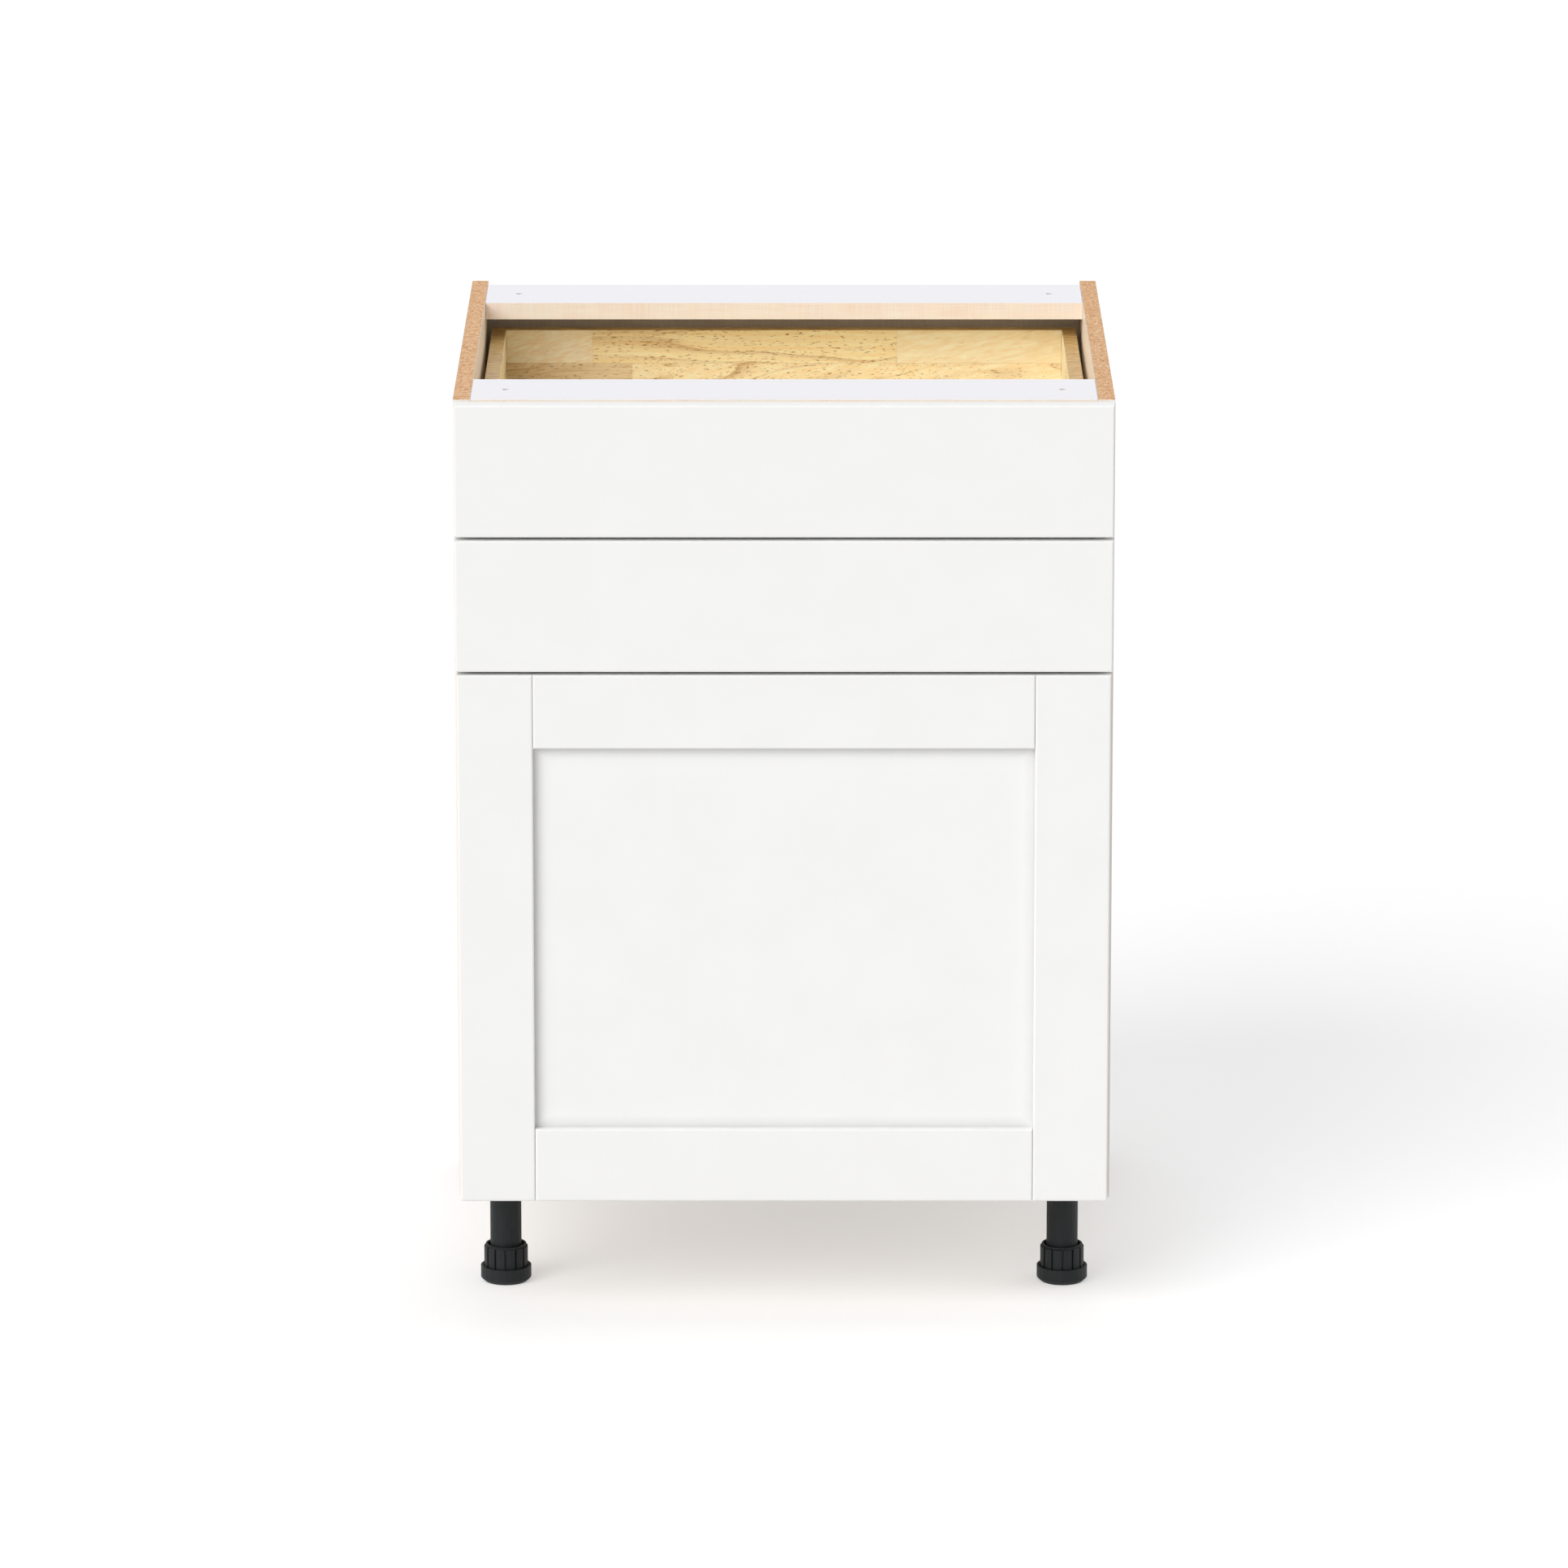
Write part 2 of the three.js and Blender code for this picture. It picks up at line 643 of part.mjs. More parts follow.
/** The sockets that a front or back board needs for the tails of both side boards. */
function tailSockets(shoulderY, endY, reachesEdge) {
  const slope = (pinRootWidth - pinTipWidth) / 2 / Math.abs(endY - shoulderY);
  const outward = Math.sign(endY - shoulderY);
  const flare = slope * cutOvershoot;
  const sockets = [];
  for (let index = 0; index < tailCount; index += 1) {
    const root = tailEdges(index, pinRootWidth, reachesEdge);
    const tip = tailEdges(index, pinTipWidth, reachesEdge);
    const below = index === 0 && reachesEdge ? cutOvershoot : tailSlack;
    const outline = shapeOf([
      [shoulderY - outward * cutOvershoot, root[0] - below + flare],
      [endY + outward * cutOvershoot, tip[0] - below - flare],
      [endY + outward * cutOvershoot, tip[1] + tailSlack + flare],
      [shoulderY - outward * cutOvershoot, root[1] + tailSlack - flare],
    ]);
    const near = boxInnerX - seatGap;
    const far = boxOuterX + cutOvershoot;
    sockets.push(alongX(outline, near, far), alongX(outline, -far, -near));
  }
  return sockets;
}

const boxGrooveZ = [boxBottomRecess - boxGroovePlay, boxBottomRecess + boxBottomThickness + boxGroovePlay];
const channelStart = boxSideGap + boxBoard + railNotchMargin; // from the side panel's inner face
const channelEnd = channelStart + channelWidth;

/** A section whose two top edges are rounded, standing on Z = 0, as (across, Z) going up and over. */
function roundTopped(low, high) {
  const section = new THREE.Path();
  const roundZ = boxHeight - boxTopRound;
  section.moveTo(low, 0);
  section.lineTo(low, roundZ);
  section.absarc(low + boxTopRound, roundZ, boxTopRound, Math.PI, Math.PI / 2, true);
  section.lineTo(high - boxTopRound, boxHeight);
  section.absarc(high - boxTopRound, roundZ, boxTopRound, Math.PI / 2, 0, true);
  section.lineTo(high, 0);
  return shapeOf(section.getPoints(roundSteps).map((point) => [point.x, point.y]));
}

/** A board across the box, between two Y values, with all four of its top edges rounded. */
function boardAcrossBox(y) {
  const x = [-boxOuterX, boxOuterX];
  return overlap(alongX(roundTopped(...y), ...x), alongY(roundTopped(...x), ...y));
}

function boxSide(side) {
  const back = tailedEnd(boxBackBoardY - seatGap, boxBackY, true);
  const front = tailedEnd(boxFrontBoardY + seatGap, boxFrontY, false).reverse();
  const x = [side * boxInnerX, side * boxOuterX].sort((a, b) => a - b);
  const outline = alongX(shapeOf([...back, ...front]), ...x);
  const board = overlap(outline, alongY(roundTopped(...x), boxFrontY, boxBackY));
  const groove = block(
    [side * (boxInnerX - cutOvershoot), side * (boxInnerX + boxGrooveDepth)],
    [boxFrontBoardY - boxGrooveDepth, boxBackBoardY + boxGrooveDepth],
    boxGrooveZ,
  );
  return cut(board, groove);
}

function boxFrontBoard() {
  const board = boardAcrossBox([boxFrontY, boxFrontBoardY]);
  const grooveY = [boxFrontBoardY - boxGrooveDepth, boxFrontBoardY + cutOvershoot];
  const groove = block([-boxInnerX, boxInnerX], grooveY, boxGrooveZ);
  return cut(board, groove, ...tailSockets(boxFrontBoardY, boxFrontY, false));
}

/** The back board has a notch at each end of its bottom edge, for the slides. */
function boxBackBoard() {
  const board = boardAcrossBox([boxBackBoardY, boxBackY]);
  const grooveY = [boxBackBoardY - cutOvershoot, boxBackBoardY + boxGrooveDepth];
  const groove = block([-boxInnerX, boxInnerX], grooveY, boxGrooveZ);
  const notches = [-1, 1].map((side) => block(
    [side * (innerX - channelEnd - seatGap), side * boxInnerX],
    [boxBackBoardY - cutOvershoot, boxBackY + cutOvershoot],
    [-cutOvershoot, boxBottomRecess],
  ));
  return cut(board, groove, ...notches, ...tailSockets(boxBackBoardY, boxBackY, true));
}

function boxBottom() {
  const reach = boxGrooveDepth - seatGap;
  return block(
    [-boxInnerX - reach, boxInnerX + reach],
    [boxFrontBoardY - reach, boxBackBoardY + reach],
    [boxBottomRecess, boxBottomRecess + boxBottomThickness],
  );
}

/** A rail's outline, given as (inward from the side panel, up from the box's bottom edge). */
function railAlongY(side, points, y) {
  return alongY(shapeOf(points.map(([inward, up]) => [side * (innerX - inward), up])), ...y);
}

/** The cabinet rail: a flange screwed to the side panel, a shelf, and a channel for the middle rail. */
function cabinetRail(side) {
  const flange = [seatGap, seatGap + railSheet];
  const shelf = [-railShelfDrop - railSheet, -railShelfDrop];
  const floor = [-channelDrop, -channelDrop + railSheet];
  const y = [carcassFrontY + cabinetRailSetback, boxBackY + cabinetRailOverrun];
  return railAlongY(side, [
    [flange[0], railFlangeRise],
    [flange[1], railFlangeRise],
    [flange[1], shelf[1]],
    [channelStart + railSheet, shelf[1]],
    [channelStart + railSheet, floor[1]],
    [channelEnd - railSheet, floor[1]],
    [channelEnd - railSheet, -channelLipDrop],
    [channelEnd, -channelLipDrop],
    [channelEnd, floor[0]],
    [channelStart, floor[0]],
    [channelStart, shelf[0]],
    [flange[0], shelf[0]],
  ], y);
}

const middleRailInward = [channelStart + railSheet + railPlay, channelEnd - railSheet - railPlay];
const middleRailUnderside = -channelDrop + railSheet + railPlay;

/** The middle rail: an upright channel inside the cabinet rail's. */
function middleRail(side) {
  const [near, far] = middleRailInward;
  const floor = middleRailUnderside + railSheet;
  const y = [boxFrontBoardY + middleRailSetback, boxBackY - middleRailShortfall];
  return railAlongY(side, [
    [near, middleRailRise],
    [near + railSheet, middleRailRise],
    [near + railSheet, floor],
    [far - railSheet, floor],
    [far - railSheet, middleRailRise],
    [far, middleRailRise],
    [far, middleRailUnderside],
    [near, middleRailUnderside],
  ], y);
}

/** The drawer rail: a plate under the drawer's bottom, with two legs down inside the middle rail. */
function drawerRail(side) {
  const plateTop = boxBottomRecess - seatGap;
  const plateUnderside = plateTop - railSheet;
  const legFoot = middleRailUnderside + railSheet + railPlay;
  const near = middleRailInward[0] + railSheet + railPlay;
  const far = middleRailInward[1] - railSheet - railPlay;
  const plate = [boxSideGap + boxBoard + topPlateMargin, channelEnd - topPlateMargin];
  const y = [boxFrontBoardY + drawerRailSetback, boxBackY];
  return railAlongY(side, [
    [plate[0], plateTop],
    [plate[1], plateTop],
    [plate[1], plateUnderside],
    [far, plateUnderside],
    [far, legFoot],
    [far - railSheet, legFoot],
    [far - railSheet, plateUnderside],
    [near + railSheet, plateUnderside],
    [near + railSheet, legFoot],
    [near, legFoot],
    [near, plateUnderside],
    [plate[0], plateUnderside],
  ], y);
}

function drawer(name, frontZ) {
  const group = new THREE.Group();
  group.position.z = frontZ + boxAboveFrontBottom;
  add(group, `${name}_drawer_front`, drawerFront(), whitePaint(), 0, 0, -boxAboveFrontBottom);
  add(group, `${name}_drawer_box_front`, boxFrontBoard(), rubberwood());
  add(group, `${name}_drawer_box_back`, boxBackBoard(), rubberwood());
  add(group, `${name}_drawer_bottom`, boxBottom(), rubberwood());
  for (const [sideName, side] of [['left', -1], ['right', 1]]) {
    add(group, `${name}_drawer_side_${sideName}`, boxSide(side), rubberwood());
    add(group, `${name}_slide_${sideName}_cabinet_rail`, cabinetRail(side), zincSteel());
    add(group, `${name}_slide_${sideName}_middle_rail`, middleRail(side), zincSteel());
    add(group, `${name}_slide_${sideName}_drawer_rail`, drawerRail(side), zincSteel());
  }
  return group;
}

// ---- Legs, drawn about their own axis, Z from the floor -----------------------------------------

const socketPlateZ = [floorClearance - seatGap - socketPlateThickness, floorClearance - seatGap];
const socketBoreRadius = tubeRadius + seatGap;
const socketRadius = socketBoreRadius + socketWall;

/** A square with rounded corners, in (X, Y). */
function roundedSquare(size, corner) {
  const middle = size / 2 - corner;
  const square = new THREE.Shape();
  square.absarc(middle, -middle, corner, -Math.PI / 2, 0, false);
  square.absarc(middle, middle, corner, 0, Math.PI / 2, false);
  square.absarc(-middle, middle, corner, Math.PI / 2, Math.PI, false);
  square.absarc(-middle, -middle, corner, Math.PI, 1.5 * Math.PI, false);
  return square;
}

/** The socket: a plate under the carcass and a gusseted sleeve that holds the tube. */
function legSocket() {
  const sleeveZ = [floorClearance - seatGap - socketLength, socketPlateZ[0] + cutOvershoot];
  const sleeve = turned([
    [socketBoreRadius, sleeveZ[0]],
    [socketRadius, sleeveZ[0]],
    [socketRadius, sleeveZ[1]],
    [socketBoreRadius, sleeveZ[1]],
    [socketBoreRadius, sleeveZ[0]],
  ], legSteps);
  const plate = alongZ(roundedSquare(socketPlateSize, socketPlateCorner), ...socketPlateZ, roundSteps);
  const rootRadius = socketRadius - socketWall / 2;
  const gusset = alongX(shapeOf([
    [rootRadius, sleeveZ[0]],
    [socketRadius, sleeveZ[0]],
    [socketRadius + gussetReach, sleeveZ[1]],
    [rootRadius, sleeveZ[1]],
  ]), -gussetThickness / 2, gussetThickness / 2);
  const gussets = [0, 1, 2, 3].map((turn) => gusset.clone().rotateZ((turn + 0.5) * Math.PI / 2));
  const bore = rodAlongZ(
    socketBoreRadius,
    { x: 0, y: 0 },
    sleeveZ[0] - cutOvershoot,
    socketPlateZ[0],
    legSteps,
  );
  return cut(join(sleeve, plate, ...gussets), bore);
}

/** The tube that stands in the socket, plain outside and threaded inside for the foot's stem. */
function legTube() {
  const top = socketPlateZ[0] - seatGap;
  const bore = tubeRadius - tubeWall;
  return turned([
    [bore, tubeFootClearance],
    [tubeRadius, tubeFootClearance],
    [tubeRadius, top],
    [bore, top],
    [bore, tubeFootClearance],
  ], legSteps);
}

/** The ring of grips round the foot's collar, as one toothed outline with a groove at the front. */
function collarGrips() {
  const pitch = 2 * Math.PI / gripCount;
  const front = -Math.PI / 2;
  const groove = gripGroove / gripRadius;
  const root = collarRadius - (collarRadius - collarInnerRadius) / 2;
  const outline = [];
  for (let grip = 0; grip < gripCount; grip += 1) {
    const start = front + grip * pitch + groove / 2;
    const end = front + (grip + 1) * pitch - groove / 2;
    outline.push([root * Math.cos(start), root * Math.sin(start)]);
    for (let step = 0; step <= gripSteps; step += 1) {
      const angle = start + (end - start) * step / gripSteps;
      outline.push([gripRadius * Math.cos(angle), gripRadius * Math.sin(angle)]);
    }
    outline.push([root * Math.cos(end), root * Math.sin(end)]);
  }
  const top = collarHeight - gripDrop;
  const teeth = alongZ(shapeOf(outline), baseFloor - cutOvershoot, top);
  const hole = rodAlongZ(root, { x: 0, y: 0 }, 0, collarHeight, legSteps);
  const envelope = turned([
    [0, 0],
    [gripRadius + gripChamfer, 0],
    [gripRadius + gripChamfer, top - 2 * gripChamfer],
    [gripRadius - gripChamfer, top],
    [0, top],
  ], legSteps);
  return cut(overlap(teeth, envelope), hole);
}

/** The foot: a rimmed base, a gripped collar that hides the tube's end, and the hollow stem. */
function legFoot() {
  const rimInner = baseRadius - baseRimWall;
  const stemRadius = tubeRadius - tubeWall - stemPlay;
  const body = turned([
    [0, 0],
    [baseRadius - baseChamfer, 0],
    [baseRadius, baseChamfer],
    [baseRadius, baseHeight],
    [rimInner, baseHeight],
    [rimInner, baseFloor],
    [collarRadius, baseFloor],
    [collarRadius, collarHeight],
    [collarInnerRadius, collarHeight],
    [collarInnerRadius, collarFloor],
    [stemRadius, collarFloor],
    [stemRadius, stemHeight],
    [stemRadius - stemWall, stemHeight],
    [stemRadius - stemWall, collarFloor],
    [0, collarFloor],
  ], legSteps);
  return join(body, collarGrips());
}

function legs() {
  const group = new THREE.Group();
  const rows = [['front', carcassFrontY + frontLegSetback], ['rear', carcassBackY - rearLegSetback]];
  for (const [rowName, y] of rows) {
    for (const [sideName, side] of [['left', -1], ['right', 1]]) {
      const leg = new THREE.Group();
      leg.position.set(side * (outerX - legInset), y, 0);
      add(leg, `leg_${rowName}_${sideName}_socket`, legSocket(), blackPlastic());
      add(leg, `leg_${rowName}_${sideName}_tube`, legTube(), blackPlastic());
      add(leg, `leg_${rowName}_${sideName}_foot`, legFoot(), blackPlastic());
      group.add(leg);
    }
  }
  return group;
}

// ---- The cabinet --------------------------------------------------------------------------------

const cabinet = new THREE.Group();
cabinet.add(carcass(), drawer('top', topFrontZ), drawer('middle', middleFrontZ), doorAndHinges(), legs());

export default cabinet;
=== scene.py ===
"""Looks of the base cabinet: finishes of its boards, fronts, drawer boxes, slides, hinges and legs, the small
fastenings that the solids leave out, and the studio that it stands in. Metres, fronts facing -Y."""

import math

import bpy
import numpy as np
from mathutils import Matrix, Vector


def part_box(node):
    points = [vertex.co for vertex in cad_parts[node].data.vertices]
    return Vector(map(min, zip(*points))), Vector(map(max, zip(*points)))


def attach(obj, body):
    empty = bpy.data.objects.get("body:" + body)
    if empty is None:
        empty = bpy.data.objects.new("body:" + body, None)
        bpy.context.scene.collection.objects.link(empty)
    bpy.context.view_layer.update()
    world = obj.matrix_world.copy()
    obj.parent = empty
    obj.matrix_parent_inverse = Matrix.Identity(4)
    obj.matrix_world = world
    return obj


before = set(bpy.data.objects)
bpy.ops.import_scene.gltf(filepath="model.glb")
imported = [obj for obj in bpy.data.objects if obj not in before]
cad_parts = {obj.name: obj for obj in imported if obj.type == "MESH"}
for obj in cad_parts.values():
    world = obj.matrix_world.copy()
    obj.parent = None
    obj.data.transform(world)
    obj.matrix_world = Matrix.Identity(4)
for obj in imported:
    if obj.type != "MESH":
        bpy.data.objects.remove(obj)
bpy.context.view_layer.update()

MM = 0.001
X, Y, Z = 0, 1, 2
SIDES = {"left": -1, "right": 1}
DRAWERS = ("top", "middle")
HINGES = ("upper", "lower")
LEG_ROWS = ("front", "rear")


def box_mm(node_name):
    """Lowest and highest corners of a solid at rest, as arrays in millimetres."""
    low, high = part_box(node_name)
    return np.array(low) / MM, np.array(high) / MM


# ---- Camera ------------------------------------------------------------------------------------------------

CAMERA_DISTANCE = 9.0  # the photograph's lens is long: its side lines hardly draw together
CAMERA_HEIGHT = 2.631
CAMERA_PITCH = math.radians(13.66)
CAMERA_LENS = 221.9
SIGHT = 100  # metres, well past the floor that shows

camera = bpy.data.objects.new("camera", bpy.data.cameras.new("camera"))
camera.location = (0, -CAMERA_DISTANCE, CAMERA_HEIGHT)
camera.rotation_euler = (math.pi / 2 - CAMERA_PITCH, 0, 0)
camera.data.lens = CAMERA_LENS
camera.data.clip_end = SIGHT
bpy.context.collection.objects.link(camera)
bpy.context.scene.camera = camera


# ---- Materials. Sizes of their patterns are in millimetres -------------------------------------------------

BLACK = (0.0, 0.0, 0.0, 1.0)
WHITE = (1.0, 1.0, 1.0, 1.0)
FACING = 0.7  # a face looks along an axis when its normal reaches this far that way
BUMP_FILTER = 0.1  # pixels over which a bump's slope is read


def linear(hex_colour):
    """An sRGB hex colour as linear RGBA."""
    values = np.array([int(hex_colour[i : i + 2], 16) for i in (0, 2, 4)]) / 255
    values = np.where(values <= 0.04045, values / 12.92, ((values + 0.055) / 1.055) ** 2.4)
    return (*values.tolist(), 1.0)


def fill(tree, made, places):
    """Gives sockets, by name or number, a value, another node's socket, or a node's first open output."""
    for key, value in places.items():
        if isinstance(value, bpy.types.Node):
            value = next(output for output in value.outputs if output.enabled)
        if isinstance(value, bpy.types.NodeSocket):
            tree.links.new(value, made.inputs[key])
        else:
            made.inputs[key].default_value = value


def node(tree, kind, *ordered, **settings):
    """Adds a shader node, its own properties set, and its open sockets filled in order."""
    made = tree.nodes.new("ShaderNode" + kind)
    for key, value in settings.items():
        setattr(made, key, value)
    open_places = [number for number, socket in enumerate(made.inputs) if socket.enabled]
    fill(tree, made, dict(zip(open_places, ordered)))
    return made


def finish(name, **uniform):
    """A new material with values of its shader that are the same all over, its tree and its shader."""
    material = bpy.data.materials.new(name)
    material.use_nodes = True
    shader = material.node_tree.nodes["Principled BSDF"]
    fill(material.node_tree, shader, {key.replace("_", " "): value for key, value in uniform.items()})
    return material, material.node_tree, shader


def grain(tree, place, width, length=None, along=None, detail=2.0):
    """Noise whose grains are about width millimetres across, and length long where they are drawn out along
    an axis: the place is divided by the grain's size on each axis. Most of it lies between 0.3 and 0.7,
    which is what the ranges given to it below stretch."""
    scale = [1 / (width * MM)] * 3
    if along is not None:
        scale[along] = 1 / (length * MM)
    drawn = node(tree, "VectorMath", place, tuple(scale), operation="MULTIPLY")
    return node(tree, "TexNoise", drawn, 1.0, detail).outputs["Fac"]


def set_stops(ramp, places, hex_colours):
    """Gives a colour ramp its stops, from its low end to its high end."""
    stops = ramp.color_ramp.elements
    for place in places[1:-1]:
        stops.new(place)
    for number, (place, hex_colour) in enumerate(zip(places, hex_colours)):
        stops[number].position = place
        stops[number].color = linear(hex_colour)
    return ramp


PEEL_SIZE = 3
PEEL_DEPTH = 0.4
DRIFT_SIZE = 60
PAINTED_SHADE_REACH = 12  # how far the painted shade in a sunk panel's corners runs out over the panel
PAINTED_CORNER_SHADE = 0.21  # how much of the white the painted shade takes in the corner itself
PAINTED_SHADE_FALL = 1.5  # the power by which the painted shade falls off


def satin_lacquer(name, opening=None):
    """White satin lacquer, sprayed on smooth fibreboard and cured: even in colour, with an orange peel that
    the eye sees only in the sheen, and a gloss that drifts slightly.

    opening is the lowest and highest (X, Z) of a sunk panel where its frame leaves it bare, in millimetres.
    Along that border the white is painted darker, falling off towards it as a power of what is left of the
    reach: painted shade for the corners of the recess."""
    material, tree, shader = finish(name)
    place = node(tree, "TexCoord").outputs["Object"]
    drift = grain(tree, place, DRIFT_SIZE, detail=3.0)
    tint = node(tree, "Mix", drift, linear("F5F5F4"), linear("F9F9F8"), data_type="RGBA")
    # Painted shade: the white is drawn darker towards the border of the sunk panel, where the recess's
    # corners fall into shade.
    if opening is not None:
        position = node(tree, "SeparateXYZ", place).outputs
        low, high = np.array(opening) * MM
        nearest = high[0] - low[0]  # more than any distance from the border
        for axis, start, end in zip((X, Z), low, high):
            from_middle = node(tree, "Math", position[axis], (start + end) / 2, operation="SUBTRACT")
            from_middle = node(tree, "Math", from_middle, operation="ABSOLUTE")
            from_border = node(tree, "Math", (end - start) / 2, from_middle, operation="SUBTRACT")
            nearest = node(tree, "Math", nearest, from_border, operation="MINIMUM")
        painted_shade = node(tree, "MapRange", nearest, 0.0, PAINTED_SHADE_REACH * MM, 1.0, 0.0)
        painted_shade = node(tree, "Math", painted_shade, PAINTED_SHADE_FALL, operation="POWER")
        painted_shade = node(tree, "Math", painted_shade, PAINTED_CORNER_SHADE, operation="MULTIPLY")
        tint = node(tree, "Mix", painted_shade, tint, BLACK, data_type="RGBA")
    gloss = node(tree, "MapRange", drift, 0.3, 0.7, 0.34, 0.42)
    peel = node(tree, "Bump", 0.06, PEEL_DEPTH * MM, BUMP_FILTER, grain(tree, place, PEEL_SIZE, detail=1.0))
    fill(tree, shader, {"Base Color": tint, "Roughness": gloss, "Normal": peel})
    return material


CREAM_LINEN = ("FFFAF2", "F8DDC8", "FBE7CF")  # the paper's ground, its pinkish threads and its yellowish ones
# The cream linen drawn greyer and darker: painted shade for the dim pocket behind the drawers.
LINEN_WITH_PAINTED_SHADE = ("F1EBE6", "DBCABD", "DECFBF")
LINEN_THREAD = (0.8, 45)  # width and length
THREAD_PATCH = 26  # where the threads are more pinkish or more yellowish
PEARL_GRAIN = 1.1
FLAKE_SIZE = 1.7857
FLAKE_DEPTH = 0.5
RAGGED_SIZE = 1.1111  # of the noise that makes the flakes' edges ragged
RAGGED_REACH = 1.2  # how far it moves them
FLAKE_STOPS = (0.0, 0.14, 0.4, 0.8, 1.0)
FLAKE_TANS = ("B87F4A", "D39E69", "E0B083", "EAC298", "F6DCBC")
DUST_SIZE = 0.9
PAPER_LINE = 0.35  # what the paper takes of the width of a raw edge
BORE_NORMAL = 0.98  # a face whose normal reaches less far than this along each axis is a bore's wall


def laminated_board(
    name, across, low_face, high_face, front_edge="linen", linen_tones=CREAM_LINEN, paper_planes=()
):
    """Particleboard pressed from flakes of some 2 mm between two melamine papers, then cut to size.

    across is the axis through the thickness. low_face and high_face name the paper on the faces that look
    down and up that axis: white, plain with a fine pearl grain, or linen, a print of fine crossing threads.
    Edges that look forward have a band, of the linen print or plain cream. The others show the raw flakes,
    and so do the bores, which the drill has browned. paper_planes are the two faces of a pair of mirrored
    boards, the inner first, in millimetres from the middle: there low means inward, and a thin pale line of
    paper edges the flakes."""
    material, tree, shader = finish(name)
    texture = node(tree, "TexCoord")
    place = texture.outputs["Object"]
    position = node(tree, "SeparateXYZ", place).outputs
    normal = node(tree, "SeparateXYZ", texture.outputs["Normal"]).outputs
    square = [node(tree, "Math", normal[axis], operation="ABSOLUTE") for axis in (X, Y, Z)]

    # Linen: dark threads run along each axis, and a face shows only the two kinds that lie in it.
    weave = 0.0
    for axis in (X, Y, Z):
        thread = node(tree, "MapRange", grain(tree, place, *LINEN_THREAD, axis, 3.0), 0.3, 0.7, 0.0, 0.5)
        lying = node(tree, "Math", 1.0, square[axis], operation="SUBTRACT")
        weave = node(tree, "Math", thread, lying, weave, operation="MULTIPLY_ADD")
    ground, pinkish, yellowish = (linear(tone) for tone in linen_tones)
    patches = node(tree, "MapRange", grain(tree, place, THREAD_PATCH), 0.35, 0.65)
    yarn = node(tree, "Mix", patches, pinkish, yellowish, data_type="RGBA")
    linen = node(tree, "Mix", weave, ground, yarn, data_type="RGBA")

    pearl = grain(tree, place, PEARL_GRAIN)
    white = node(tree, "Mix", pearl, linear("F2F1F6"), linear("F7F6FB"), data_type="RGBA")

    # Raw flakes: cells with ragged edges, each of one shade of tan, and finer dust over them.
    ragged = node(tree, "TexNoise", place, 1 / (RAGGED_SIZE * MM), 2.0).outputs["Color"]
    ragged = node(tree, "VectorMath", ragged, (RAGGED_REACH * MM,) * 3, operation="MULTIPLY")
    ragged = node(tree, "VectorMath", place, ragged, operation="ADD")
    flakes = node(tree, "TexVoronoi", ragged, 1 / (FLAKE_SIZE * MM))
    shade = node(tree, "SeparateColor", flakes.outputs["Color"])
    chips = set_stops(node(tree, "ValToRGB", shade), FLAKE_STOPS, FLAKE_TANS)
    dust = node(tree, "MapRange", grain(tree, place, DUST_SIZE, detail=4.0), 0.42, 0.7, 0.0, 0.4)
    raw = node(tree, "Mix", dust, chips, linear("B57E4C"), data_type="RGBA")
    for plane in paper_planes:
        from_middle = node(tree, "Math", position[across], operation="ABSOLUTE")
        line = node(tree, "Math", from_middle, plane * MM, PAPER_LINE * MM, operation="COMPARE")
        raw = node(tree, "Mix", line, raw, linear("D9D4D1"), data_type="RGBA")
    squarest = node(tree, "Math", square[X], square[Y], operation="MAXIMUM")
    squarest = node(tree, "Math", squarest, square[Z], operation="MAXIMUM")
    bored = node(tree, "Math", squarest, BORE_NORMAL, operation="LESS_THAN")
    raw = node(tree, "Mix", bored, raw, linear("8A5326"), data_type="RGBA")

    # What each face shows.
    forward = node(tree, "Math", normal[Y], -FACING, operation="LESS_THAN")
    papers = {"white": white, "linen": linen, "cream": linear("FBF3EB")}
    colour = node(tree, "Mix", forward, raw, papers[front_edge], data_type="RGBA")
    upward = normal[across]
    if paper_planes:
        outward = node(tree, "Math", position[across], operation="SIGN")
        upward = node(tree, "Math", upward, outward, operation="MULTIPLY")
    for paper, limit, side in ((low_face, -FACING, "LESS_THAN"), (high_face, FACING, "GREATER_THAN")):
        shown = node(tree, "Math", upward, limit, operation=side)
        colour = node(tree, "Mix", shown, colour, papers[paper], data_type="RGBA")
    cut = node(tree, "Math", square[across], FACING, operation="LESS_THAN")
    bare = node(tree, "Math", cut, forward, operation="SUBTRACT", use_clamp=True)
    gloss = node(tree, "MapRange", bare, 0.0, 1.0, 0.42, 0.85)
    height = node(tree, "Mix", bare, pearl, flakes.outputs["Distance"], data_type="FLOAT")
    bumps = node(tree, "Bump", 0.15, FLAKE_DEPTH * MM, BUMP_FILTER, height)
    fill(tree, shader, {"Base Color": colour, "Roughness": gloss, "Normal": bumps})
    return material


STAVE_WIDTH = 33
STAVE_LENGTH = 296
STAVE_TOP = 16.3  # brings a glue line to one stave's width under the top edge of the top drawer's box
FINGER_DEPTH = 1.5

# Factors that scatter the staves' numbers. They are chosen so that on the top drawer's box the staves' ends
# and tones come about where the photograph has them.
STAGGER_TURN = 52.17
STAGGER_SPREAD = 31.0
ROW_TURN = 32.7
COLUMN_TURN = 20.29
TONE_SPREAD = 57.0
SLANT_SPREAD = 9.2
SLANT_START = 0.72
RICHNESS_SPREAD = 12.6
RICHNESS_START = 0.56
APART = 7.3  # metres over which the staves read their grain, so that no two read it at one place

# Widths and lengths of what runs along the grain.
SWAY = (34, 110)
GROWTH = (32, 520)
RING_FADING = (17, 120)
FIBRE = (1.9, 90)
STREAK = (3.4, 190)
VESSEL = (1.1, 6.0)
CROSS_STREAK = (2.6, 16)

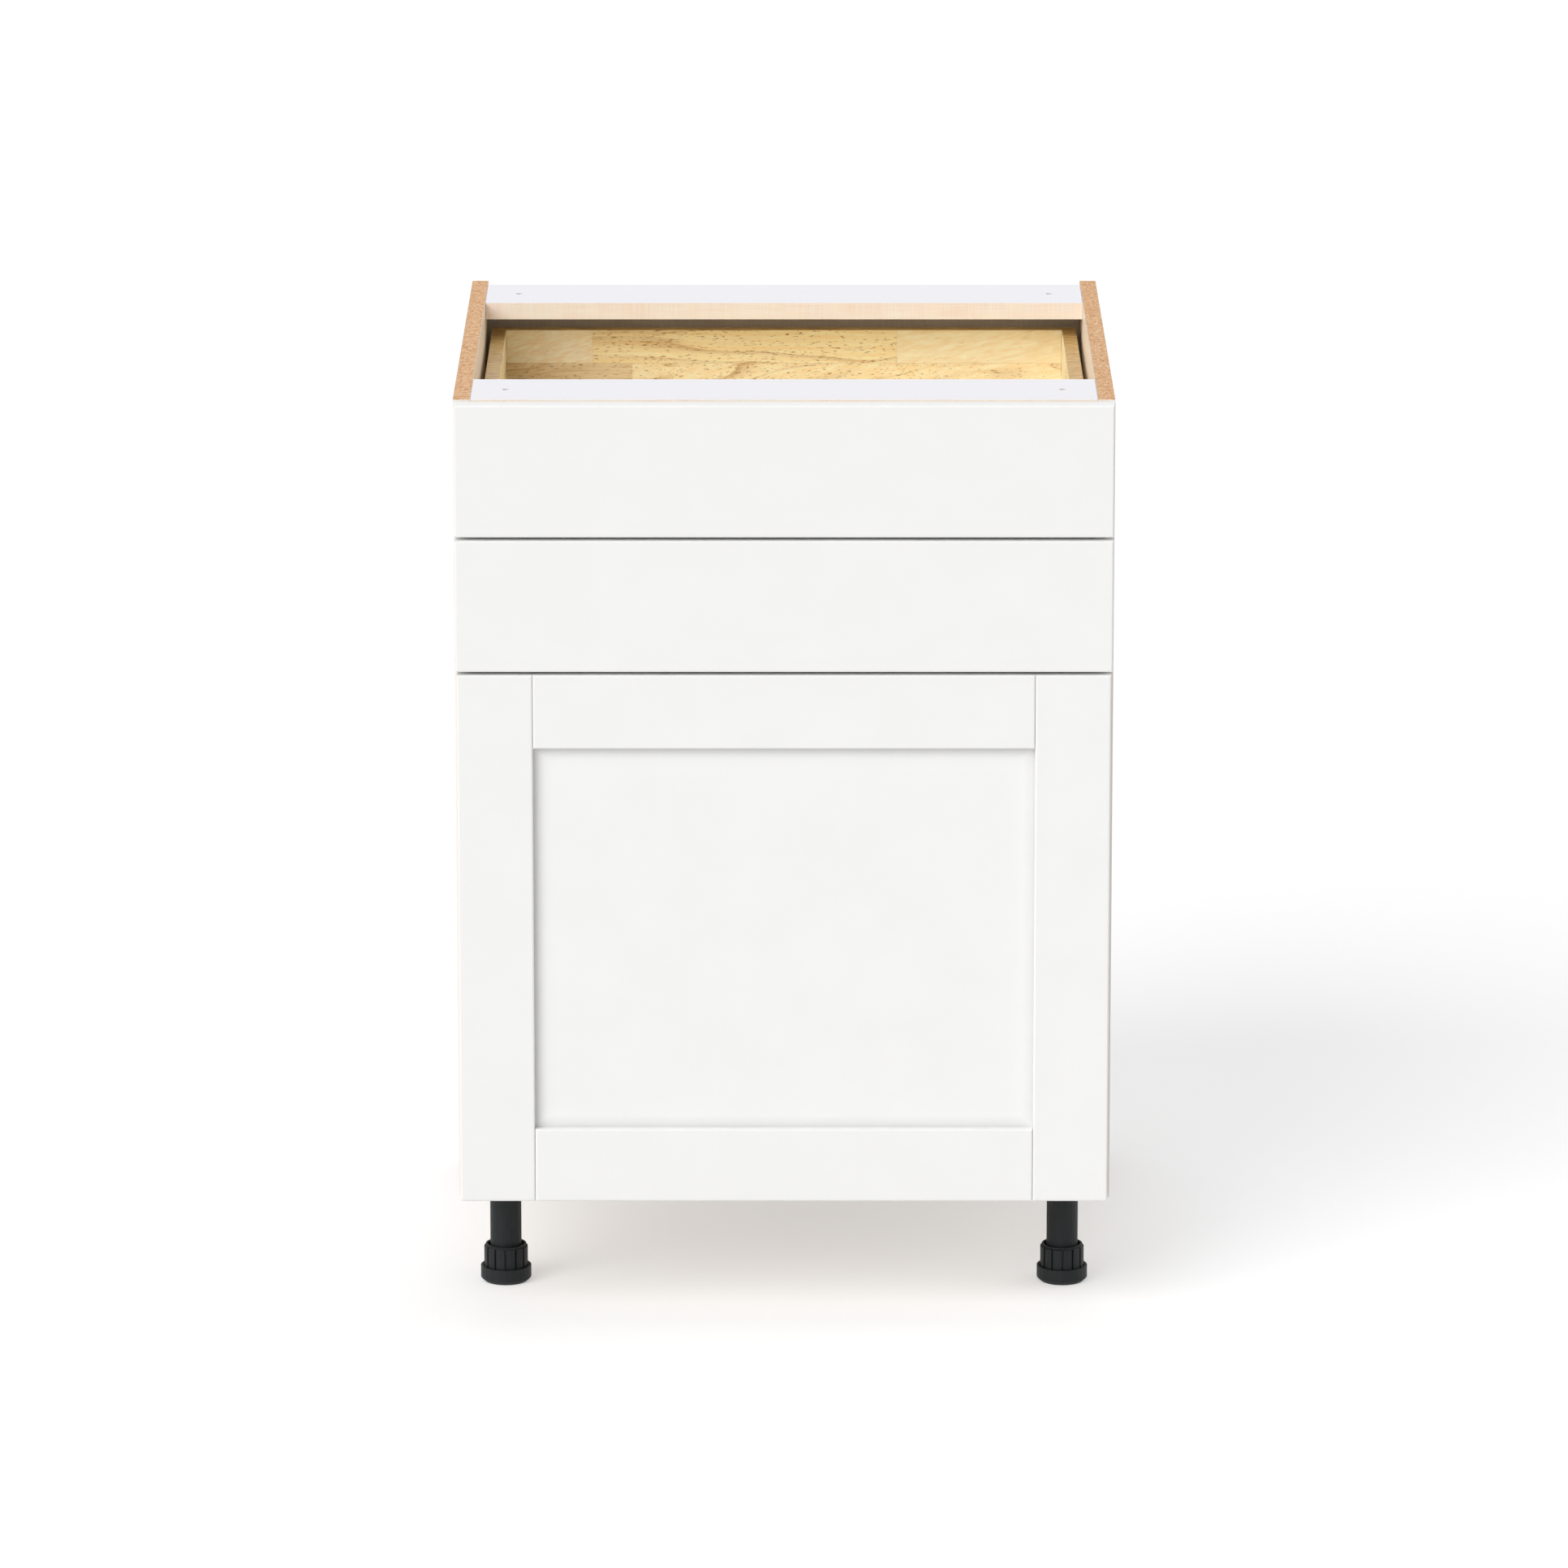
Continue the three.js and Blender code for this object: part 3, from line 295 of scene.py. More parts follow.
SWAY_REACH = 9
VESSEL_DEPTH = 0.3
STEEPEST = 0.33  # slope of the grain
RING_STEP = 0.15  # of the growth noise, from ring to ring
RING_START = 0.45  # where in a step the darkening sets in
RING_END = 0.93  # where it is full, and ends abruptly
RING_POWER = 1.6  # bends its rise
RING_FAINT = 0.12  # how strong the rings are in a stave with few vessels
RING_STRONG = 0.55  # and in a rich one
VESSELS_RICH = 0.602  # the noise that passes this is a vessel in a rich stave
VESSELS_POOR = 0.74  # and this in a poor one
VESSELS_CROWD = 0.09  # by how much a ring lowers either
GLUE_LINE = (0.132, 0.528)  # from its middle to where it starts to fade and where it ends
FINGER_LINE = (0.148, 0.474)

TONE_STOPS = (0.12, 0.27, 0.5, 0.85)  # tan, brown, cream and yellow staves
EARLY_WOOD = ("FFFAE0", "F6E4BF", "FFF8DA", "FFF5CA")
LATE_WOOD = ("F6DCB0", "DBBC85", "F7E0B2", "FCDFA4")


def chance(tree, number, spread):
    """A number from 0 to 1 that looks like chance: what is left over of a sine that was spread far."""
    wave = node(tree, "Math", number, operation="SINE")
    wave = node(tree, "Math", wave, spread, operation="MULTIPLY")
    return node(tree, "Math", wave, operation="FRACT")


def second_chance(tree, first, spread, start):
    """Another such number, made from the first."""
    moved = node(tree, "Math", first, spread, start, operation="MULTIPLY_ADD")
    return node(tree, "Math", moved, operation="FRACT")


def staves(tree, position, along, up):
    """Where a point lies among the staves: rows by height, and in each row staves one after the other,
    staggered from row to row. Gives the height in stave widths, the run in stave lengths and the stave's
    tone, 0 to 1."""
    rise = node(tree, "Math", position[up], STAVE_TOP * MM, operation="SUBTRACT")
    rise = node(tree, "Math", rise, STAVE_WIDTH * MM, operation="DIVIDE")
    row = node(tree, "Math", rise, operation="FLOOR")
    stagger = chance(tree, node(tree, "Math", row, STAGGER_TURN, operation="MULTIPLY"), STAGGER_SPREAD)
    fingers = node(tree, "Math", position[up], FINGER_DEPTH * MM, operation="PINGPONG")
    run = node(tree, "Math", position[along], fingers, operation="ADD")
    run = node(tree, "Math", run, 1 / (STAVE_LENGTH * MM), stagger, operation="MULTIPLY_ADD")
    column = node(tree, "Math", run, operation="FLOOR")
    number = node(tree, "Math", column, COLUMN_TURN, operation="MULTIPLY")
    number = node(tree, "Math", row, ROW_TURN, number, operation="MULTIPLY_ADD")
    return rise, run, chance(tree, number, TONE_SPREAD)


def stave_grain(tree, place, position, tone, along):
    """Where a stave's noise is read: its grain rises to the right by up to 1 in 3 and starts afresh in each
    stave. Gives that place, and the same with a slow sway added."""
    slant = second_chance(tree, tone, SLANT_SPREAD, SLANT_START)
    slant = node(tree, "Math", slant, -STEEPEST, operation="MULTIPLY")
    drop = node(tree, "Math", position[along], slant, operation="MULTIPLY")
    start = node(tree, "Math", tone, APART, operation="MULTIPLY")
    drop = node(tree, "Math", drop, start, operation="ADD")
    shift = node(tree, "CombineXYZ", *(start if axis == along else drop for axis in (X, Y, Z)))
    fresh = node(tree, "VectorMath", place, shift, operation="ADD")
    sway = node(tree, "MapRange", grain(tree, fresh, *SWAY, along, 1.0), 0.0, 1.0, 0.0, SWAY_REACH * MM)
    sway = node(tree, "CombineXYZ", *(0.0 if axis == along else sway for axis in (X, Y, Z)))
    return fresh, node(tree, "VectorMath", fresh, sway, operation="ADD")


def growth_rings(tree, fresh, bent, along):
    """Growth rings are level lines of slow noise, drawn out along the grain: each darkens slowly and ends
    abruptly. They fade in and out."""
    growth = grain(tree, bent, *GROWTH, along, 1.0)
    ring = node(tree, "Math", growth, 1 / RING_STEP, operation="MULTIPLY")
    ring = node(tree, "Math", ring, operation="FRACT")
    rising = node(tree, "MapRange", ring, RING_START, RING_END)
    falling = node(tree, "MapRange", ring, RING_END, 1.0, 1.0, 0.0)
    band = node(tree, "Math", rising, falling, operation="MULTIPLY")
    band = node(tree, "Math", band, RING_POWER, operation="POWER")
    fading = node(tree, "MapRange", grain(tree, fresh, *RING_FADING, along), 0.35, 0.6, 0.15, 1.0)
    return node(tree, "Math", band, fading, operation="MULTIPLY")


def rubberwood(name, along, up):
    """Rubberwood staves, finger-jointed end to end, glued edge to edge, planed and clear-lacquered.

    along and up are the axes that the grain and the staves' width follow. Each stave has its own tone, tan,
    brown, cream or yellow, and its grain slants its own way. Growth rings are soft streaks some 10 to 20 mm
    apart. In some staves they are strong, and many vessels show as brown dashes some 6 mm long and 1 mm
    wide. Others have few of either. Edges that look up are drawn a little darker and browner, with fine
    streaks across them."""
    material, tree, shader = finish(name, Coat_Weight=0.12, Coat_Roughness=0.3)
    texture = node(tree, "TexCoord")
    place = texture.outputs["Object"]
    position = node(tree, "SeparateXYZ", place).outputs
    rise, run, tone = staves(tree, position, along, up)
    fresh, bent = stave_grain(tree, place, position, tone, along)
    band = growth_rings(tree, fresh, bent, along)
    rich = second_chance(tree, tone, RICHNESS_SPREAD, RICHNESS_START)

    # Vessels are short dashes, soft at the ends, that crowd on the rings.
    sparse = node(tree, "MapRange", rich, 0.25, 0.6, VESSELS_POOR, VESSELS_RICH)
    crowding = node(tree, "Math", band, -VESSELS_CROWD, sparse, operation="MULTIPLY_ADD")
    dash = grain(tree, bent, *VESSEL, along, 1.0)
    proud = node(tree, "Math", dash, crowding, operation="SUBTRACT")
    vessels = node(tree, "MapRange", proud, 0.0, 0.15, 0.0, 0.85)

    # Fibre and streaks lie between early and late wood, with the rings and the vessels over them.
    fibre = node(tree, "MapRange", grain(tree, bent, *FIBRE, along), 0.33, 0.67)
    streak = node(tree, "MapRange", grain(tree, bent, *STREAK, along), 0.34, 0.66)
    figure = node(tree, "Mix", 0.6, fibre, streak, data_type="FLOAT")
    early = set_stops(node(tree, "ValToRGB", tone), TONE_STOPS, EARLY_WOOD)
    late = set_stops(node(tree, "ValToRGB", tone), TONE_STOPS, LATE_WOOD)
    wood = node(tree, "Mix", figure, early, late, data_type="RGBA")
    ringed = node(tree, "MapRange", rich, 0.25, 0.9, RING_FAINT, RING_STRONG)
    ringed = node(tree, "Math", band, ringed, operation="MULTIPLY")
    wood = node(tree, "Mix", ringed, wood, linear("B57E33"), data_type="RGBA")
    wood = node(tree, "Mix", vessels, wood, linear("965F22"), data_type="RGBA")

    # Glue lines between rows and at the fingers.
    seam_fades = (distance / STAVE_WIDTH for distance in GLUE_LINE)
    joint_fades = (distance / STAVE_LENGTH for distance in FINGER_LINE)
    seam = node(tree, "Math", rise, 0.5, operation="PINGPONG")
    seam = node(tree, "MapRange", seam, *seam_fades, 0.22, 0.0)
    joint = node(tree, "Math", run, 0.5, operation="PINGPONG")
    joint = node(tree, "MapRange", joint, *joint_fades, 0.15, 0.0)
    seam = node(tree, "Math", seam, joint, operation="MAXIMUM")
    wood = node(tree, "Mix", seam, wood, linear("A98450"), data_type="RGBA")

    # Edges that look up are drawn darker and browner, with fine streaks across them.
    if up == Z:
        facing_up = node(tree, "SeparateXYZ", texture.outputs["Normal"]).outputs[Z]
        darkened_up_edge = node(tree, "Math", facing_up, FACING, operation="GREATER_THAN")
        darkened_up_edge = node(tree, "Math", darkened_up_edge, 0.85, operation="MULTIPLY")
        cross_streaks = node(tree, "MapRange", grain(tree, place, *CROSS_STREAK, X, 3.0), 0.35, 0.65)
        up_edge_tone = node(tree, "Mix", cross_streaks, linear("A67C34"), linear("DBB564"), data_type="RGBA")
        wood = node(tree, "Mix", darkened_up_edge, wood, up_edge_tone, data_type="RGBA")
    gloss = node(tree, "MapRange", band, 0.0, 1.0, 0.42, 0.52)
    pores = node(tree, "Bump", 0.25, VESSEL_DEPTH * MM, BUMP_FILTER, vessels, invert=True)
    fill(tree, shader, {"Base Color": wood, "Roughness": gloss, "Normal": pores})
    return material


SPANGLE_SIZE = 4.1667
ROLLING_LINE = (0.5, 80)  # width and length
ROLLING_DEPTH = 0.2


def plated_steel(name, bright, dull, along):
    """Steel rolled and pressed, then plated: a bluish or warm bright metal whose spangles, some 4 mm across,
    differ a little in tone, under rolling lines half a millimetre wide that run along one axis."""
    material, tree, shader = finish(name, Metallic=1.0)
    place = node(tree, "TexCoord").outputs["Object"]
    spangles = node(tree, "TexVoronoi", place, 1 / (SPANGLE_SIZE * MM))
    spangle = node(tree, "SeparateColor", spangles.outputs["Color"])
    lines = grain(tree, place, *ROLLING_LINE, along)
    both = node(tree, "Math", spangle, lines, operation="MULTIPLY")
    tint = node(tree, "Mix", both, linear(dull), linear(bright), data_type="RGBA")
    gloss = node(tree, "MapRange", lines, 0.0, 1.0, 0.26, 0.42)
    rolled = node(tree, "Bump", 0.08, ROLLING_DEPTH * MM, BUMP_FILTER, lines)
    fill(tree, shader, {"Base Color": tint, "Roughness": gloss, "Normal": rolled})
    return material


BLOOM_SIZE = 15
SPARK_SIZE = 0.7
SPARK_DEPTH = 0.2


def moulded_plastic(name, colour, bloomed, roughness):
    """Plastic from a spark-eroded steel mould: even in colour, with a fine matt grain, and a slightly paler
    bloom where the melt cooled."""
    material, tree, shader = finish(name, Specular_IOR_Level=0.32)
    place = node(tree, "TexCoord").outputs["Object"]
    bloom = grain(tree, place, BLOOM_SIZE, detail=3.0)
    tint = node(tree, "Mix", bloom, linear(colour), linear(bloomed), data_type="RGBA")
    gloss = node(tree, "MapRange", bloom, 0.0, 1.0, roughness - 0.06, roughness + 0.08)
    spark = node(tree, "Bump", 0.2, SPARK_DEPTH * MM, BUMP_FILTER, grain(tree, place, SPARK_SIZE, detail=1.0))
    fill(tree, shader, {"Base Color": tint, "Roughness": gloss, "Normal": spark})
    return material


side_low, side_high = box_mm("side_panel_right")
PANEL_PLANES = (side_low[X], side_high[X])
opening_low = box_mm("door_stile_left")[1][X], box_mm("door_rail_bottom")[1][Z]
opening_high = box_mm("door_stile_right")[0][X], box_mm("door_rail_top")[0][Z]

LACQUER = satin_lacquer("satin_lacquer_on_fibreboard")
# The sunk panel's lacquer has painted shade along its border.
PANEL_LACQUER_PAINTED_SHADE = satin_lacquer("satin_lacquer_with_painted_corner_shade", (opening_low, opening_high))
SIDE_BOARD = laminated_board("melamine_board_side", X, "linen", "white", "cream", paper_planes=PANEL_PLANES)
STRETCHER_BOARD = laminated_board("melamine_board_stretcher", Z, "white", "white")
SHELF_BOARD = laminated_board("melamine_board_flat", Z, "linen", "linen")
# The back panel's linen face is drawn in the greyer linen, as painted shade.
BACK_BOARD = laminated_board("melamine_board_back_with_painted_shade", Y, "linen", "white", "linen", LINEN_WITH_PAINTED_SHADE)
WOOD_ACROSS = rubberwood("rubberwood_grain_left_to_right", X, Z)
WOOD_FLAT = rubberwood("rubberwood_grain_in_bottom", X, Y)
WOOD_LENGTHWISE = rubberwood("rubberwood_grain_front_to_back", Y, Z)
ZINC = plated_steel("zinc_plated_steel", "D9DDE2", "AEB3B9", Y)
NICKEL = plated_steel("nickel_plated_steel", "E2DFD9", "BDB9B2", Y)
BLACK_PLASTIC = moulded_plastic("black_polypropylene", "121618", "1A1E20", 0.55)
GREY_PLASTIC = moulded_plastic("grey_polypropylene", "6E7377", "7C8185", 0.5)
SOFT_PLASTIC = moulded_plastic("soft_clear_polyurethane", "E4E6E3", "EEF0ED", 0.3)


def dress(material, *node_names):
    """Gives carried-over solids their material."""
    for name in node_names:
        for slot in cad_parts[name].material_slots:
            slot.material = material


dress(SIDE_BOARD, "side_panel_left", "side_panel_right")
dress(STRETCHER_BOARD, "stretcher_front", "stretcher_back")
dress(SHELF_BOARD, "bottom_panel", "shelf")
dress(BACK_BOARD, "back_panel")
dress(LACQUER, "door_stile_left", "door_stile_right", "door_rail_top", "door_rail_bottom")
dress(PANEL_LACQUER_PAINTED_SHADE, "door_panel")
for drawer in DRAWERS:
    dress(LACQUER, f"{drawer}_drawer_front")
    dress(WOOD_ACROSS, f"{drawer}_drawer_box_front", f"{drawer}_drawer_box_back")
    dress(WOOD_FLAT, f"{drawer}_drawer_bottom")
    for side in SIDES:
        dress(WOOD_LENGTHWISE, f"{drawer}_drawer_side_{side}")
        dress(ZINC, *(f"{drawer}_slide_{side}_{rail}_rail" for rail in ("cabinet", "middle", "drawer")))
for hinge in HINGES:
    dress(NICKEL, *(f"hinge_{hinge}_{part}" for part in ("arm", "crank", "coupler", "cup")))
for side in SIDES:
    dress(NICKEL, f"shelf_pin_front_{side}", f"shelf_pin_back_{side}")
    for row in LEG_ROWS:
        dress(BLACK_PLASTIC, *(f"leg_{row}_{side}_{part}" for part in ("socket", "tube", "foot")))


# ---- Shapes, in millimetres --------------------------------------------------------------------------------


def facing(direction):
    """Rows are where the local X, Y and Z point when local Z looks along a world axis."""
    ahead = np.array(direction, float)
    across = np.roll(np.abs(ahead), 1)
    return np.stack([across, np.cross(ahead, across), ahead])


def skin(rings, at, direction):
    """A closed skin over rings, an array of (ring, step, XYZ) that goes up the local Z: a quad between each
    two neighbouring rings and steps, wrapped round, and one face over the first ring and one over the last.
    It is set down at a place, its local Z looking in a direction."""
    count, steps = rings.shape[:2]
    index = np.arange(count * steps).reshape(count, steps)
    turned = np.roll(index, -1, axis=1)
    quads = np.stack([index[:-1], turned[:-1], turned[1:], index[1:]], axis=-1).reshape(-1, 4)
    places = np.array(at, float) + rings.reshape(-1, 3) @ facing(direction)
    return places, [*quads.tolist(), index[0][::-1].tolist(), index[-1].tolist()]


def round_rings(radii, heights, steps):
    """A turned form: each ring is a circle, radius and height taken from the profile."""
    angle = np.linspace(0, 2 * np.pi, steps, endpoint=False)
    radius = np.array(radii, float)[:, None] * np.ones(steps)
    height = np.array(heights, float)[:, None] * np.ones(steps)
    return np.stack([radius * np.cos(angle), radius * np.sin(angle), height], axis=-1)


CORNER_STEPS = 4


def block(at, direction, width, depth, length, corner, first, last):
    """A block with rounded corners, length long: each ring is a rectangle of width by depth whose corners
    are arcs of the corner's radius less the ring's inset. first and last are (inset, length) of the bevels
    at its ends."""
    insets = np.array([first[0], 0, 0, last[0]], float)[:, None]
    heights = np.array([0, first[1], length - last[1], length], float)[:, None]
    quarter = np.repeat(np.arange(4), CORNER_STEPS)
    angle = (quarter + np.tile(np.linspace(0, 1, CORNER_STEPS), 4)) * np.pi / 2
    sign_x = np.array([1, -1, -1, 1])[quarter]
    sign_y = np.array([1, 1, -1, -1])[quarter]
    x = sign_x * (width / 2 - corner) + (corner - insets) * np.cos(angle)
    y = sign_y * (depth / 2 - corner) + (corner - insets) * np.sin(angle)
    return skin(np.stack([x, y, heights * np.ones(angle.size)], axis=-1), at, direction)


CROSS_ARM = 13  # degrees, half of what an arm of the cross spans

# Ring by ring: a share of the radius, one of the height, and one of the height by which the cross is sunk.
HEAD_PROFILE = np.array(
    [(1, 0, 0), (1, 0.4, 0), (0.8, 0.85, 0), (0.55, 1, 0), (0.5, 1, 0.35), (0.2, 0.55, 0.1)]
)


def screw_head(at, direction, radius=3.6, height=1.3):
    """A domed head with a cross recess. Rings run up the rim, over the dome and into the recess. Of the three
    steps in each quarter, the two that border an arm of the cross are sunk, and the one between isn't."""
    angle = np.radians(np.repeat(np.arange(4), 3) * 90 + np.tile([-CROSS_ARM, CROSS_ARM, 45], 4))
    arm = np.tile([1.0, 1.0, 0.0], 4)
    reach, dome, sunk = HEAD_PROFILE.T[:, :, None]
    radii = radius * reach * np.ones(arm.size)
    heights = height * (dome - sunk * arm)
    return skin(np.stack([radii * np.cos(angle), radii * np.sin(angle), heights], axis=-1), at, direction)


BUMPER_RADIUS = 4.0
BUMPER_HEIGHT = 1.2
BUMPER_STEPS = 20


def soft_bumper(at, direction):
    """A low dome that a front closes against: over a short rim, ring by ring, the height grows as a sine
    and the radius falls off as the root of a cosine."""
    rise = np.linspace(0, np.pi / 2, 5)[:-1]
    radii = BUMPER_RADIUS * np.array([1, *(0.97 * np.cos(rise) ** 0.5)])
    heights = BUMPER_HEIGHT * np.array([0, *(0.25 + 0.75 * np.sin(rise))])
    return skin(round_rings(radii, heights, BUMPER_STEPS), at, direction)


CAM_RADIUS = 7.5
CAM_HEIGHT = 0.45
CAM_RIM = 0.25  # height of the rim, under its rounding
CAM_ROUNDING = 0.4
CAM_STEPS = 28


def cam(at, direction):
    """A cam of a board joint, as two skins: a disc, its rim rounded, and on it a low head with a cross."""
    radii = [CAM_RADIUS, CAM_RADIUS, CAM_RADIUS - CAM_ROUNDING]
    disc = skin(round_rings(radii, [0, CAM_RIM, CAM_HEIGHT], CAM_STEPS), at, direction)
    top = np.array(at, float) + CAM_HEIGHT * np.array(direction, float)
    return disc, screw_head(top, direction, radius=3.4, height=0.3)


SHARP_EDGE = math.radians(35)


def build(name, body, slot, material, *skins):
    """One piece from one or more closed skins, riding on a body, with its edges sharp past an angle."""
    offsets = np.cumsum([0, *(len(places) for places, _ in skins)])
    faces = []
    for (_, made), offset in zip(skins, offsets):
        faces += [[corner + offset for corner in face] for face in made]
    mesh = bpy.data.meshes.new(name)
    mesh.from_pydata((np.concatenate([places for places, _ in skins]) * MM).tolist(), [], faces)
    mesh.materials.append(material)
    mesh.polygons.foreach_set("use_smooth", [True] * len(faces))
    mesh.set_sharp_from_angle(angle=SHARP_EDGE)
    piece = bpy.data.objects.new(name, mesh)
    bpy.context.collection.objects.link(piece)
    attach(piece, body)


def screws(name, body, material, direction, places, radius=3.6, height=1.3):
    """One piece of several screw heads that look the same way."""
    build(name, body, "zinc_steel", material, *(screw_head(at, direction, radius, height) for at in places))


# ---- Fittings of the slides --------------------------------------------------------------------------------

carcass_front = side_low[Y]

SYSTEM_SETBACK = 37  # carcass front to the first column of the grid of holes that cabinets are drilled on
SYSTEM_PITCH = 32
RAIL_SCREW_SETBACKS = [SYSTEM_SETBACK + columns * SYSTEM_PITCH for columns in (0, 7, 14)]
RAIL_SHEET = 1.5  # thickness of the rails' steel
RAIL_SCREW_DROP = 8  # rail's top edge to its screws

DAMPER = (13, 8, 150)  # height, width and length
DAMPER_INWARD = 9.5  # from the rail's screwed flange to the damper's middle
DAMPER_BACK_GAP = 40  # to the rail's back end
DAMPER_DROP = 28.6  # rail's top edge to the damper's middle

CLIP = (34, 30, 6.8)  # width, depth and height
CLIP_INWARD = 21  # from the drawer rail's edge to the clip's middle
CLIP_SETBACK = 17  # from the back of the box's front board
CLIP_GAP = 0.2  # under the drawer's bottom
LEVER = (12, 22, 4)
LEVER_INWARD = 6  # from the clip's middle
LEVER_SETBACK = 19

HOOK = (11, 1.5, 27)
HOOK_SETBACK = 1.1  # from the drawer rail's back end to the hook's middle
HOOK_DROP = 12  # from the drawer rail's top to the hook's foot


def slide_fittings(drawer, side, sign):
    """What one slide has besides its rails: screws, a damper, a locking clip and a hook."""
    name = f"{drawer}_slide_{side}"
    cabinet_low, cabinet_high = box_mm(f"{name}_cabinet_rail")
    flange_face = max(abs(cabinet_low[X]), abs(cabinet_high[X])) - RAIL_SHEET
    screws(
        f"{name}_rail_screws",
        "carcass",
        NICKEL,
        (-sign, 0, 0),
        [
            (sign * flange_face, carcass_front + setback, cabinet_high[Z] - RAIL_SCREW_DROP)
            for setback in RAIL_SCREW_SETBACKS
        ],
    )

    # The damper's housing hangs under the cabinet rail's shelf, outside the channel.
    damper_front = (
        sign * (flange_face - DAMPER_INWARD),
        cabinet_high[Y] - DAMPER_BACK_GAP - DAMPER[2],
        cabinet_high[Z] - DAMPER_DROP,
    )
    housing = block(damper_front, (0, 1, 0), *DAMPER, corner=3, first=(1, 1), last=(1, 1))
    build(f"{name}_damper", "carcass", "black_plastic", GREY_PLASTIC, housing)

    # The clip that locks the drawer rail to the box, in the corner behind the front board, and its lever.
    drawer_low, drawer_high = box_mm(f"{name}_drawer_rail")
    board_back = box_mm(f"{drawer}_drawer_box_front")[1][Y]
    underside = box_mm(f"{drawer}_drawer_bottom")[0][Z]
    clip_x = sign * (min(abs(drawer_low[X]), abs(drawer_high[X])) - CLIP_INWARD)
    clip_top = (clip_x, board_back + CLIP_SETBACK, underside - CLIP_GAP)
    lever_top = (clip_x - sign * LEVER_INWARD, board_back + LEVER_SETBACK, underside - CLIP[2])
    clip = block(clip_top, (0, 0, -1), *CLIP, corner=4, first=(1.2, 1.2), last=(0.8, 0.8))
    lever = block(lever_top, (0, 0, -1), *LEVER, corner=3, first=(1, 1), last=(1, 1))
    build(f"{name}_locking_clip", f"{drawer}_drawer", "black_plastic", GREY_PLASTIC, clip, lever)

    # The hook at the back of the drawer rail holds the box's back board down.
    middle_low, middle_high = box_mm(f"{name}_middle_rail")
    rail_middle = sign * (abs(middle_low[X]) + abs(middle_high[X])) / 2
    hook_foot = (rail_middle, drawer_high[Y] + HOOK_SETBACK, drawer_high[Z] - HOOK_DROP)
    hook = block(hook_foot, (0, 0, 1), *HOOK, corner=0.5, first=(0.3, 1), last=(0.45, 2))
    build(f"{name}_rear_hook", f"{drawer}_drawer", "zinc_steel", ZINC, hook)


for drawer in DRAWERS:
    for side, sign in SIDES.items():
        slide_fittings(drawer, side, sign)

# ---- Fastenings of fronts, hinges, legs and carcass --------------------------------------------------------

FRONT_SCREW_SPREAD = 190  # from the middle to each of the two columns that hold a drawer's front to its box
FRONT_SCREW_LIFT = 6  # middle of the box's front board to the middle of a column
BUMPER_INSET = 12  # from a front's end
DOOR_BUMPER_INSET = 5.5  # outwards from the side panel's inner face
side_middle = (side_low[X] + side_high[X]) / 2

for drawer in DRAWERS:
    front_high = box_mm(f"{drawer}_drawer_front")[1]
    board_low, board_high = box_mm(f"{drawer}_drawer_box_front")
    column_middle = (board_low[Z] + board_high[Z]) / 2 + FRONT_SCREW_LIFT
    screws(
        f"{drawer}_front_screws",
        f"{drawer}_drawer",
        NICKEL,
        (0, 1, 0),
        [
            (x, board_high[Y], column_middle + rise)
            for x in (-FRONT_SCREW_SPREAD, FRONT_SCREW_SPREAD)
            for rise in (-SYSTEM_PITCH / 2, SYSTEM_PITCH / 2)
        ],
        radius=4.2,
        height=1.5,
    )
    bumpers = [
        soft_bumper((sign * side_middle, front_high[Y], front_high[Z] - BUMPER_INSET), (0, 1, 0))
        for sign in SIDES.values()
    ]
    build(f"{drawer}_front_bumpers", f"{drawer}_drawer", None, SOFT_PLASTIC, *bumpers)

stile_low, stile_high = box_mm("door_stile_right")
bumpers = [
    soft_bumper((side_low[X] + DOOR_BUMPER_INSET, stile_high[Y], height), (0, 1, 0))
    for height in (stile_low[Z] + BUMPER_INSET, stile_high[Z] - BUMPER_INSET)
]
build("door_bumpers", "door", None, SOFT_PLASTIC, *bumpers)

WING_THICKNESS = 3  # of the hinge plates' screwed wings
ADJUSTER_SETBACKS = (24, 50)  # carcass front to a hinge arm's two adjusting screws
CUP_FLANGE_RADIUS = 18.2  # cup's outermost edge to its axis
CUP_SCREW_OFFSET = 9.5  # cup's axis to the line of its two screws
CUP_SCREW_PITCH = 45

for hinge in HINGES:
    arm_low, arm_high = box_mm(f"hinge_{hinge}_arm")
    cup_low, cup_high = box_mm(f"hinge_{hinge}_cup")
    hinge_height = (arm_low[Z] + arm_high[Z]) / 2
    wing_x = arm_low[X] + WING_THICKNESS
    cup_screw_x = cup_low[X] + CUP_FLANGE_RADIUS + CUP_SCREW_OFFSET
    screws(
        f"hinge_{hinge}_plate_screws",
        "carcass",
        NICKEL,
        (1, 0, 0),
        [
            (wing_x, carcass_front + SYSTEM_SETBACK, hinge_height + rise)
            for rise in (-SYSTEM_PITCH / 2, SYSTEM_PITCH / 2)
        ],
        radius=4.0,
        height=1.5,
    )
    screws(
        f"hinge_{hinge}_adjusters",
        "carcass",
        NICKEL,
        (1, 0, 0),
        [(arm_high[X], carcass_front + setback, hinge_height) for setback in ADJUSTER_SETBACKS],
        radius=3.2,
        height=0.9,
    )
    screws(
        f"hinge_{hinge}_cup_screws",
        "door",
        NICKEL,
        (0, 1, 0),
        [
            (cup_screw_x, cup_high[Y], hinge_height + rise)
            for rise in (-CUP_SCREW_PITCH / 2, CUP_SCREW_PITCH / 2)
        ],
        height=1.2,
    )

LEG_PLATE_THICKNESS = 3.5
LEG_SCREW_INSET = 8

